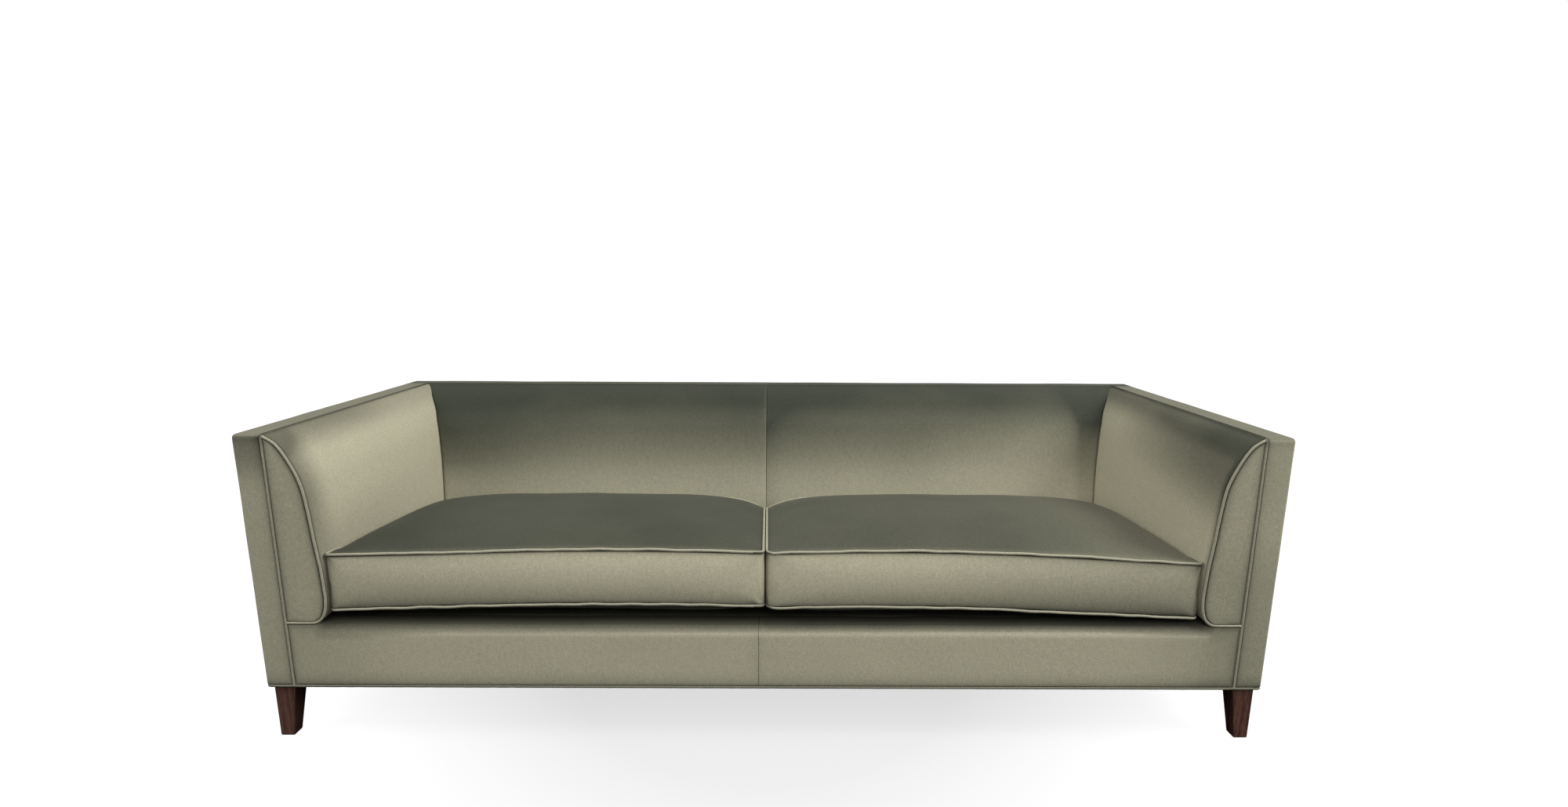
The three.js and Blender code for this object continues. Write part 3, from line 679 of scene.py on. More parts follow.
class GroupBoard(NodeBoard):
    """Board of a node group with named inputs and outputs."""

    def __init__(
        self, name: str, inputs: Kinds, outputs: Kinds = EFFECT, kind: str = "ShaderNodeTree"
    ) -> None:
        """Starts the group.

        Args:
            name: The group's name.
            inputs: Kinds of its input sockets by name.
            outputs: Kinds of its output sockets by name; usually those of an effect.
            kind: Blender's name of its kind of tree.
        """
        super().__init__(bpy.data.node_groups.new(name, kind))
        for side, sockets in (("INPUT", inputs), ("OUTPUT", outputs)):
            for socket, kind_of_socket in sockets.items():
                self.tree.interface.new_socket(
                    socket, in_out=side, socket_type=f"NodeSocket{kind_of_socket}")
        self.given = self.add("NodeGroupInput").outputs

    def finished(self, results: Settings) -> Tree:
        """Links the group's results and gives its tree."""
        self.add("NodeGroupOutput", results)
        return self.tree


def pile_group() -> Tree:
    """Builds the look of velvet pile: grain, brushed streaks, patches, painted light and shade mixed from a
    lit and a shaded tone, and painted shade in the seams' creases.

    Returns:
        The node group.
    """
    board = GroupBoard("velvet pile", {
        "Place": "Vector", "Combed": "Vector", "Raised": "Color", "Laid": "Color", "Nap": "Float",
        "Seam": "Float", "Patches": "Float", "Streaks": "Float",
    })
    given, nap = board.given, board.given["Nap"]
    grain, mottle = board.noise(given["Place"], 270, 4), board.noise(given["Place"], 95, 3)
    streak, fuzz = board.noise(given["Combed"], 190, 3), board.noise(given["Combed"], 210, 4)
    patch = board.noise(given["Place"], 5.5, 3)
    swing = board.math("MULTIPLY", board.centred(patch), given["Patches"])
    between = board.math("MULTIPLY", nap, board.math("SUBTRACT", 1.0, nap))
    ragged = board.math("MULTIPLY", board.centred(fuzz), board.math("MAXIMUM", between, 0.0))
    # Painted light and shade: the nap mixes the pale lit tone and the dark shaded tone
    laid = board.math("ADD", board.math("ADD", nap, swing), board.math("MULTIPLY", ragged, 0.55))
    laid = board.get("ShaderNodeClamp", {"Value": laid})
    color = board.mix(laid, given["Raised"], given["Laid"])
    tone = board.math("MULTIPLY_ADD", board.centred(grain), 0.6, 1.0)
    tone = board.math("MULTIPLY_ADD", board.centred(mottle), 0.14, tone)
    tone = board.math("ADD", tone, board.math("MULTIPLY", board.centred(streak), given["Streaks"]))
    # Painted shade in the seams' creases
    crease_shade = board.math("POWER", given["Seam"], 1.4)
    tone = board.math("MULTIPLY", tone, board.math("MULTIPLY_ADD", crease_shade, -0.95, 1.0))
    relief = board.math("MULTIPLY_ADD", mottle, 0.8, grain)
    return board.finished({
        "Color": board.get("ShaderNodeVectorMath", {0: color, "Scale": tone}, operation="SCALE"),
        "Roughness": board.math("MULTIPLY_ADD", mottle, 0.12, 0.78),
        "Height": board.math("MULTIPLY_ADD", streak, 0.6, relief),
    })


def grain_group(stain: tuple = (0.004, 0.0022, 0.0018, 1)) -> Tree:
    """Builds the look of wood: long figure, fine pores, and painted shade where the mesh carries it.

    Args:
        stain: Colour of the painted shade.

    Returns:
        The node group.
    """
    board = GroupBoard("wood grain", {
        "Along": "Vector", "Light": "Color", "Dark": "Color", "Figure Scale": "Float", "Stain": "Float",
    })
    given = board.given
    figure = board.get("ShaderNodeTexNoise", {
        "Vector": given["Along"], "Scale": given["Figure Scale"], "Detail": 4.0, "Distortion": 0.6,
    })
    pores = board.get("ShaderNodeTexNoise", {
        "Vector": given["Along"], "Scale": board.math("MULTIPLY", given["Figure Scale"], 9.0),
        "Detail": 3.0, "Roughness": 0.65,
    })
    share = board.math("MULTIPLY_ADD", board.centred(pores), 0.9, figure)
    share = board.get("ShaderNodeMapRange", {"Value": share, "From Min": 0.33, "From Max": 0.68})
    color = board.mix(share, given["Light"], given["Dark"])
    return board.finished({
        "Color": board.mix(given["Stain"], color, stain),
        "Roughness": board.math("MULTIPLY_ADD", pores, 0.25, 0.28),
        "Height": pores,
    })


def weave_group() -> Tree:
    """Builds a plain weave of two sets of threads.

    Returns:
        The node group.
    """
    board = GroupBoard("plain weave", {
        "Place": "Vector", "Thread": "Color", "Gap": "Color", "Threads": "Float",
    })
    given = board.given
    axes = board.add("ShaderNodeSeparateXYZ", {0: given["Place"]}).outputs
    turn = board.math("MULTIPLY", given["Threads"], math.pi)
    warp, weft = (board.math("SINE", board.math("MULTIPLY", axes[axis], turn)) for axis in "XY")
    knit = board.math("ABSOLUTE", board.math("MULTIPLY", warp, weft))
    fuzz = board.noise(given["Place"], 900, 3)
    share = board.math("MULTIPLY", knit, board.math("MULTIPLY_ADD", fuzz, 0.8, 0.5))
    return board.finished({
        "Color": board.mix(share, given["Gap"], given["Thread"]),
        "Roughness": board.math("MULTIPLY_ADD", fuzz, 0.2, 0.75),
        "Height": share,
    })


class MaterialBoard(NodeBoard):
    """Board of a material whose Principled shader takes its look from an effect group."""

    def __init__(self, name: str) -> None:
        """Starts the material.

        Args:
            name: The material's name.
        """
        self.material = bpy.data.materials.new(name)
        self.material.use_nodes = True
        super().__init__(self.material.node_tree)
        self.place = self.get("ShaderNodeTexCoord", output="Object")

    def stretched(self, scale: tuple[float, float, float]) -> Socket:
        """Gives the object's coordinates, scaled along each axis."""
        return self.get("ShaderNodeMapping", {"Vector": self.place, "Scale": scale})

    def carried(self, name: str) -> Socket:
        """Gives the values that the mesh carries under a name."""
        return self.get("ShaderNodeAttribute", output="Fac", attribute_name=name)

    def finished(
        self, group: Tree, inputs: Settings, bump: tuple[float, float], shader: Settings
    ) -> Material:
        """Links the effect group to the shader.

        Args:
            group: The effect's node group.
            inputs: What it is given.
            bump: Strength and depth of the bump.
            shader: Constants of the shader.

        Returns:
            The material.
        """
        effect = self.add("ShaderNodeGroup", inputs, node_tree=group).outputs
        relief = self.get("ShaderNodeBump", {
            "Strength": bump[0], "Distance": bump[1], "Height": effect["Height"],
        })
        self.fill(self.tree.nodes["Principled BSDF"], {
            "Base Color": effect["Color"], "Roughness": effect["Roughness"], "Normal": relief, **shader,
        })
        return self.material


@dataclass(frozen=True)
class VelvetFinish:
    """Short velvet pile with a pale lit tone and a dark shaded tone, which the painted nap mixes as light
    and shade and as the pile's lay.
    """

    name: str
    nap: NapDirection
    # Pale tone where light falls, and dark tone that stands in for shade as well as laid pile
    raised: Color = (0.425, 0.402, 0.288)
    laid: Color = (0.036, 0.040, 0.0285)
    patches: float = 0.08
    streaks: float = 0.07
    sheen: float = 0.04

    def material(self, group: Tree) -> Material:
        """Builds the material.

        Args:
            group: The pile's node group.

        Returns:
            The material.
        """
        board = MaterialBoard(self.name)
        inputs = {
            "Place": board.place, "Combed": board.stretched(self.nap.value),
            # The nap and seam attributes carry painted light and shade
            "Nap": board.carried("nap"), "Seam": board.carried("seam"),
            "Raised": (*self.raised, 1), "Laid": (*self.laid, 1),
            "Patches": self.patches, "Streaks": self.streaks,
        }
        return board.finished(group, inputs, (0.35, 0.0008), {
            "Specular IOR Level": 0.12, "Sheen Weight": self.sheen, "Sheen Roughness": 0.45,
            "Sheen Tint": (0.86, 0.84, 0.7, 1),
        })


@dataclass(frozen=True)
class WoodFinish:
    """Wood with its grain along one axis."""

    name: str
    axis: GrainAxis
    light: Color
    dark: Color
    figure: float = 90.0
    gloss: float = 0.4

    def material(self, group: Tree) -> Material:
        """Builds the material.

        Args:
            group: The grain's node group.

        Returns:
            The material.
        """
        board = MaterialBoard(self.name)
        # The seam attribute carries painted shade, such as on the legs' inner sides
        inputs = {
            "Along": board.stretched(self.axis.value), "Stain": board.carried("seam"),
            "Light": (*self.light, 1), "Dark": (*self.dark, 1), "Figure Scale": self.figure,
        }
        return board.finished(group, inputs, (0.2, 0.0003), {"Specular IOR Level": self.gloss})


@dataclass(frozen=True)
class ClothFinish:
    """Plain woven cloth."""

    name: str
    thread: Color
    gap: Color
    threads: float

    def material(self, group: Tree) -> Material:
        """Builds the material.

        Args:
            group: The weave's node group.

        Returns:
            The material.
        """
        board = MaterialBoard(self.name)
        inputs = {
            "Place": board.place, "Thread": (*self.thread, 1), "Gap": (*self.gap, 1),
            "Threads": self.threads,
        }
        return board.finished(group, inputs, (0.4, 0.0004), {"Specular IOR Level": 0.2})


class Wardrobe:
    """Every finish of the sofa, built once."""

    def __init__(self) -> None:
        """Builds the node groups and the materials."""
        pile, grain, weave = pile_group(), grain_group(), weave_group()
        self.velvet_down = VelvetFinish("velvet_upright", NapDirection.DOWN).material(pile)
        self.velvet_flat = VelvetFinish("velvet_flat", NapDirection.FORWARD).material(pile)
        # The welt's pale lit tone and dark shaded tone, mixed as painted light and shade
        self.welt = VelvetFinish(
            "velvet_welt", NapDirection.DOWN, (0.35, 0.336, 0.248), (0.05, 0.051, 0.038),
            patches=0.05, streaks=0.05, sheen=0.06,
        ).material(pile)
        self.leg = WoodFinish(
            "leg_mahogany", GrainAxis.ALONG_Z, (0.104, 0.053, 0.039), (0.038, 0.0188, 0.0146),
            figure=140, gloss=0.0,
        ).material(grain)
        pine = ((0.62, 0.44, 0.25), (0.45, 0.28, 0.13))
        self.timber = {
            axis: WoodFinish(f"timber_{axis.name.lower()}", axis, *pine).material(grain)
            for axis in GrainAxis
        }
        self.fibreboard = WoodFinish(
            "fibreboard", GrainAxis.ALONG_Y, (0.30, 0.20, 0.11), (0.2, 0.13, 0.07), figure=260,
        ).material(grain)
        self.platform, self.webbing, self.dust_cloth, self.thread = (
            finish.material(weave) for finish in (
                # The platform cloth is made darker than the real cloth to paint the shade under the cushions
                ClothFinish("platform_cloth", (0.075, 0.073, 0.053), (0.04, 0.039, 0.028), 1400),
                ClothFinish("webbing", (0.045, 0.042, 0.04), (0.012, 0.011, 0.01), 620),
                ClothFinish("dust_cloth", (0.02, 0.02, 0.02), (0.006, 0.006, 0.006), 1100),
                ClothFinish("thread", (0.09, 0.09, 0.065), (0.05, 0.05, 0.035), 2600),
            )
        )

    def cover(
        self, name: str, shell: tuple[Points, Points, Points], node: str, fill: float | None = None,
        nap: NapAndShade | None = None, cells: Points | None = None,
    ) -> Piece:
        """Closes a velvet cover of the frame and dresses it.

        Args:
            name: The piece's name.
            shell: Its outer points, the points behind them, and how near each is to a seam.
            node: Plain solid that it stands for.
            fill: How full its padding is; left out for a cloth without padding. Not used.
            nap: How its pile lies, with light and shade painted into it, where that isn't as on the outside.
            cells: Which cells of its grid are there, where some aren't.

        Returns:
            The piece.
        """
        piece = closed_shell(name, *shell, cells)
        finish_piece(piece, self.velvet_down, FRAME_BODY, (node,), nap=nap or front_nap)
        return piece


def growth_tree(
    name: str, sizes: Kinds, grow: Callable[[GroupBoard, Socket], Socket]
) -> Tree:
    """Builds the geometry nodes that grow something along a line.

    Args:
        name: The tree's name.
        sizes: Kinds of its inputs for sizes by name.
        grow: Adds the nodes that grow it on the line's curve.

    Returns:
        The node tree.
    """
    inputs = {"Geometry": "Geometry", **sizes, "Finish": "Material"}
    board = GroupBoard(name, inputs, {"Geometry": "Geometry"}, "GeometryNodeTree")
    line = board.get("GeometryNodeMeshToCurve", {"Mesh": board.given["Geometry"]})
    smooth = board.get("GeometryNodeSetShadeSmooth", {"Geometry": grow(board, line)})
    whole = board.get("GeometryNodeRealizeInstances", {"Geometry": smooth})
    dressed = board.get("GeometryNodeSetMaterial", {"Geometry": whole, "Material": board.given["Finish"]})
    return board.finished({"Geometry": dressed})


def covered_cord(board: GroupBoard, line: Socket) -> Socket:
    """Adds a piping cord in its slightly uneven cover.

    Args:
        board: Board of the tree.
        line: Curve that it follows.

    Returns:
        The cord's geometry.
    """
    section = board.get("GeometryNodeCurvePrimitiveCircle", {
        "Radius": board.given["Radius"], "Resolution": board.given["Sides"],
    })
    cord = board.get("GeometryNodeCurveToMesh", {
        "Curve": line, "Profile Curve": section, "Fill Caps": True,
    })
    noise = board.get("ShaderNodeTexNoise", {
        "Vector": board.get("GeometryNodeInputPosition"), "Scale": 55.0, "Detail": 2.0,
    }, output="Color")
    way = board.get("ShaderNodeVectorMath", {0: noise, 1: (0.5, 0.5, 0.5)}, operation="SUBTRACT")
    amount = {0: way, "Scale": board.given["Unevenness"]}
    offset = board.get("ShaderNodeVectorMath", amount, operation="SCALE")
    return board.get("GeometryNodeSetPosition", {"Geometry": cord, "Offset": offset})


def row_of_stitches(board: GroupBoard, line: Socket) -> Socket:
    """Adds a row of stitches, each a long bead.

    Args:
        board: Board of the tree.
        line: Curve that they follow.

    Returns:
        The row's geometry.
    """
    spots = board.add("GeometryNodeCurveToPoints", {"Curve": line, "Length": board.given["Pitch"]},
                      mode="LENGTH").outputs
    bead = board.get("GeometryNodeMeshUVSphere", {"Segments": 8, "Rings": 6, "Radius": 1.0})
    thin, half = board.given["Thread Radius"], board.math("MULTIPLY", board.given["Stitch Length"], 0.5)
    size = board.get("ShaderNodeCombineXYZ", {"X": thin, "Y": thin, "Z": half})
    stitch = board.get("GeometryNodeTransform", {"Geometry": bead, "Scale": size})
    turn = board.get("FunctionNodeAlignRotationToVector", {"Vector": spots["Tangent"]}, axis="Z")
    return board.get("GeometryNodeInstanceOnPoints", {
        "Points": spots["Points"], "Instance": stitch, "Rotation": turn,
    })


def grown_along(
    name: str, route: Points, tree: Tree, values: dict[str, object], closed: bool = False
) -> Piece:
    """Runs a geometry node tree along a line and keeps the mesh.

    Args:
        name: The piece's name.
        route: Points of the line.
        tree: The node tree.
        values: Values of its inputs by name.
        closed: Whether the line returns to its start.

    Returns:
        The new object, a plain mesh.
    """
    count = len(route)
    edges = [(index, (index + 1) % count) for index in range(count if closed else count - 1)]
    line = bpy.data.meshes.new(name)
    line.from_pydata(np.asarray(route).tolist(), edges, [])
    carrier = show(bpy.data.objects.new(name + "_line", line))
    modifier = carrier.modifiers.new("grown", "NODES")
    modifier.node_group = tree
    for key, value in values.items():
        modifier[tree.interface.items_tree[key].identifier] = value
    bpy.context.view_layer.update()
    grown = carrier.evaluated_get(bpy.context.evaluated_depsgraph_get())
    mesh = bpy.data.meshes.new_from_object(grown)
    mesh.name = name
    bpy.data.objects.remove(carrier)
    return show(bpy.data.objects.new(name, mesh))


@dataclass
class Piping:
    """Makes the welts and the rows of stitches."""

    wardrobe: Wardrobe
    sides: int = 14
    unevenness: float = 0.0009
    stitch_pitch: float = 0.0042
    stitch_length: float = 0.003
    thread_radius: float = 0.0004

    def __post_init__(self) -> None:
        """Builds the node trees."""
        sizes = {"Radius": "Float", "Sides": "Int", "Unevenness": "Float"}
        self.cord = growth_tree("piping cord", sizes, covered_cord)
        sizes = {"Pitch": "Float", "Stitch Length": "Float", "Thread Radius": "Float"}
        self.stitches = growth_tree("row of stitches", sizes, row_of_stitches)

    def welt(
        self, name: str, route: Points, body: str, node: str,
        nap: NapAndShade | None = None, closed: bool = False,
    ) -> None:
        """Makes one welt.

        Args:
            name: The piece's name.
            route: Points of its middle line.
            body: Body that it rides on.
            node: Plain solid that it stands for.
            nap: How its pile lies, with light and shade painted into it, where that isn't the usual way.
            closed: Whether it returns to its start.
        """
        values = {"Radius": SIZES.welt_radius, "Sides": self.sides, "Unevenness": self.unevenness,
                  "Finish": self.wardrobe.welt}
        piece = grown_along(name, route, self.cord, values, closed)
        add_values(piece.data, "seam", np.zeros(len(piece.data.vertices)))
        finish_piece(piece, self.wardrobe.welt, body, (node,), subdivide=False,
                     nap=nap or self.worn)

    @staticmethod
    def worn(pile: Pile) -> Points:
        """Paints light and shade into a welt: pale where it faces up to the light, dark below and between
        the cushions.
        """
        between = (np.abs(pile.x + 0.005) < 0.02) * (1 - rise(pile.up, 0.3, 0.85))
        return 0.34 - 0.3 * pile.up + 0.5 * between

    def stitch_row(self, name: str, route: Points, body: str) -> None:
        """Makes one row of stitches.

        Args:
            name: The piece's name.
            route: Points of the row.
            body: Body that it rides on.
        """
        values = {"Pitch": self.stitch_pitch, "Stitch Length": self.stitch_length,
                  "Thread Radius": self.thread_radius, "Finish": self.wardrobe.thread}
        piece = grown_along(name, route, self.stitches, values)
        finish_piece(piece, self.wardrobe.thread, body, (), subdivide=False)


def front_nap(pile: Pile) -> Points:
    """Paints light and shade into the pile of the sofa's outside covers: darker at their seams, where they
    face up or down, at the ends, folds and bottom.

    Args:
        pile: Points of the cover.

    Returns:
        How dark each point is, by the pile's lay and by painted light and shade.
    """
    # Painted shade: darker towards the ends, at the top folds, near the bottom, beside the seams and where
    # the cover faces up or down
    out, right = np.abs(pile.x), pile.x > 0
    border = rise(out, SIZES.border_seam - 0.004, SIZES.border_seam + 0.004)
    side = 0.14 * rise(out, 0.75, 1.0) + 0.04 * border * right * rise(pile.z, 0.5, 0.6)
    side = side + 0.11 * rise(pile.x, 0.92, 1.0) * (1 - rise(pile.z, 0.36, 0.5))
    fold = 0.34 * rise(pile.z, 0.56, 0.66) * border * ~right + 0.14 * rise(pile.z, 0.66, 0.686)
    hem = 0.12 * (1 - rise(pile.z, 0.128, 0.165)) + 0.5 * rise(-pile.up, 0.3, 0.95)
    front = 0.25 + side + fold + hem + 0.25 * pile.nearness**0.35
    top = 0.68 + 0.08 * right + 0.25 * rise(pile.y, 0.35, 0.4)
    return front + (top - front) * rise(pile.up, 0.3, 0.9)


@dataclass
class ArmUpholstery:
    """Padding, front panel, border and outer cover of one arm."""

    hand: Hand
    wardrobe: Wardrobe
    lining_inwards: float = SIZES.half_width - SIZES.lining_side + SIZES.clearance
    board_cover: float = 0.0115
    panel_dip: float = 0.0012
    fold_radius: float = 0.0105
    border_cloth: float = 0.0049
    border_edge_cloth: float = 0.0048
    outer_front_gap: float = 0.0065

    def across(self, inwards: Points) -> Points:
        """Turns distances in from the outer side into X."""
        return self.hand.value * (SIZES.half_width - inwards)

    def build(self) -> None:
        """Builds the arm's pieces."""
        self.build_padding()
        self.build_front_panel()
        self.build_border()
        self.build_outer_cover()

    def build_padding(self) -> None:
        """Builds the padded inside of the arm."""
        profile, lining, gap = ARM_PROFILE, self.lining_inwards, SIZES.clearance
        line = profile.line()
        line[0, 0] = lining
        route, heel = Route(line), profile.thickness - profile.corner
        marks = np.append(edge_spaced(route.length, 0.011, low=False), heel - lining + gap)
        section = route.at(np.sort(marks))
        start, end = SIZES.timber_front, SIZES.timber_rear - SIZES.top_rail_width - gap
        board_rear = start + SIZES.arm_board_depth + gap
        places = np.sort(np.append(start + edge_spaced(end - start, 0.013), board_rear))
        grid = lattice(self.across(section[:, :1]), places, section[:, 1:])
        towards = (-self.hand.value, 0, 0)
        turns = EdgeTurns(last_row=0.0032, first_column=0.0042)
        outer, seam = upholster(grid, towards, turns, Relief(11 + self.hand.value, wave_depth=0.0007))
        inner = lattice(self.across(lining), places, np.minimum(section[:, 1:], SIZES.frame_top - gap))
        skin = grid - surface_normals(grid, towards) * self.board_cover
        beside_board = (places < board_rear + TOUCH) & (section[:, :1] > lining + self.board_cover)
        inner[beside_board] = skin[beside_board]
        under = (section[1:] - (heel, profile.bottom)).max(axis=1)
        cells = (under[:, None] > gap + 10 * TOUCH) | (places[1:] > board_rear + TOUCH)
        word = self.hand.word
        self.wardrobe.cover(f"arm_padding_{word}", (outer, inner, seam), f"arm_pad_{word}", 0.9,
                            self.padding_nap, cells)

    def padding_nap(self, pile: Pile) -> Points:
        """Paints shade into the inside's pile: darker near the front, towards the top and, on the left arm,
        low down; paler further back.

        Args:
            pile: Points of the padding.

        Returns:
            How dark each point is, by the pile's lay and by painted shade.
        """
        depth, height = pile.depth, pile.z
        # Painted shade near the front edge, along the top and, on the left, by the seat
        if self.hand is Hand.LEFT:
            fringe = (0.25 + 0.37 * rise(height, 0.42, 0.56)) * (1 - rise(depth, 0.0, 0.115))
            low = 0.26 * (1 - rise(height, 0.42, 0.55)) * (1 - 0.6 * rise(depth, 0.2, 0.5))
            crest = 0.62 * rise(height, 0.625, 0.69) * (1 - 0.4 * rise(depth, 0.3, 0.6))
            return np.minimum(fringe + low + crest, 0.76)
        reach = np.clip(depth / 0.6, 0, 1)
        stroke = 0.78 * rise(height, 0.46 + 0.06 * reach, 0.615 + 0.05 * reach) * (1 - 0.8 * reach**2)
        crest = (0.42 + 0.3 * rise(depth, 0.45, 0.62)) * rise(height, 0.62, 0.69)
        limit = 0.92 - 0.1 * rise(depth, 0.12, 0.3)
        return np.minimum(stroke + crest + 0.3 * (1 - rise(depth, 0.003, 0.03)), limit)

    def build_front_panel(self) -> None:
        """Builds the shaped panel at the front of the arm."""
        line = Route(ARM_PROFILE.line()[1:])
        face = line.at(np.linspace(0, line.length, 400))
        inset = SIZES.welt_radius - SIZES.welt_proud + SIZES.seam_gap
        edge = face + left_of(face) * inset
        low, near = ARM_PROFILE.bottom + inset, SIZES.border_width + SIZES.seam_gap
        edge = edge[(edge[:, 1] > low) & (edge[:, 0] > near + 0.0015)]
        heights = low + edge_spaced(edge[-1, 1] - low, 0.012)
        inwards = np.interp(heights, edge[:, 1], edge[:, 0])
        inwards[0] = edge[0, 0]
        usual_width = 0.07
        shares = edge_spaced(usual_width, 0.009) / usual_width
        x = self.across(near + (inwards[:, None] - near) * shares)
        grid = lattice(x, SIZES.face_front, heights[:, None])
        turns = EdgeTurns(0.0026, 0.0026, 0.0026, 0.0026)
        relief = Relief(21 + self.hand.value, wave_depth=0.0003, pucker_depth=0.0003)
        outer, seam = upholster(grid, (0, -1, 0), turns, relief)
        outer[..., 1] -= self.panel_dip * (1 - np.exp(-np.minimum.reduce(edge_distances(grid)) / 0.012))
        word = self.hand.word
        self.wardrobe.cover(f"arm_front_cover_{word}", (outer, grid + (0, SIZES.front_cover, 0), seam),
                            f"arm_front_panel_{word}", 0.95)

    def build_border(self) -> None:
        """Builds the strip that runs up the front of the arm and back along its top."""
        start, top = SIZES.face_front, SIZES.face_top
        end = SIZES.border_rear_seam + SIZES.seam_gap - SIZES.clearance
        corners = [(start, SIZES.cover_bottom), (start, top), (end, top)]
        route = Route(rounded_route(corners, self.fold_radius, 14))
        places, fold = edge_spaced(route.length, 0.013), top - SIZES.cover_bottom
        close = fold + np.linspace(-0.014, 0.006, 12)
        places = np.unique(np.concatenate([places[np.abs(places - fold + 0.004) > 0.013], close]))
        path = route.at(places)
        outward, wrap = left_of(path), SIZES.border_wrap
        flat = SIZES.face_side - SIZES.border_seam - SIZES.seam_gap - wrap
        angle = np.linspace(0, math.pi / 2, 7)[1:]
        run = edge_spaced(flat, 0.008, high=False)
        x = SIZES.border_seam + SIZES.seam_gap + np.concatenate([run, flat + wrap * np.sin(angle)])
        drop = np.concatenate([np.zeros(len(run)), wrap * (1 - np.cos(angle))])
        grid = crossed(self.hand.value * x, path[:, None] - outward[:, None] * drop[:, None])
        turns = EdgeTurns(0.002, 0.0016, 0.0024, 0.0, creases=(1, 0.6, 0.4, 1))
        relief = Relief(31 + self.hand.value, wave_depth=0.0003, wave_length=0.16)
        outer, seam = upholster(grid, (self.hand.value * 0.2, -1, 1), turns, relief)
        inner = crossed(self.hand.value * np.minimum(x, SIZES.face_side - self.border_edge_cloth),
                        path[:, None] - outward[:, None] * self.border_cloth)
        word = self.hand.word
        self.wardrobe.cover(f"arm_border_cover_{word}", (outer, inner, seam), f"arm_border_{word}", 0.95)

    def build_outer_cover(self) -> None:
        """Builds the cloth on the outside of the arm, which wraps the rear corner."""
        side, end, wrap = SIZES.face_side, SIZES.face_rear, SIZES.border_wrap
        corners = [(side, SIZES.front + self.outer_front_gap), (side, end), (side - wrap, end)]
        route = Route(rounded_route(corners, wrap * 0.96, 8))
        path = route.at(edge_spaced(route.length, 0.02))
        tall = SIZES.outer_cover_top - SIZES.cover_bottom
        heights = SIZES.cover_bottom + edge_spaced(tall, 0.02)
        grid = lattice(self.hand.value * path[:, 0], path[:, 1], heights[:, None])
        relief = Relief(41 + self.hand.value, wave_depth=0.0006, wave_length=0.3)
        towards = (self.hand.value, 0.1, 0)
        outer, seam = upholster(grid, towards, EdgeTurns(0.0016, 0.0016, 0.0016, 0.0012), relief)
        inner = grid - surface_normals(grid, towards) * SIZES.outer_cloth
        word = self.hand.word
        piece = self.wardrobe.cover(f"arm_outside_{word}", (outer, inner, seam), f"arm_outer_cover_{word}")


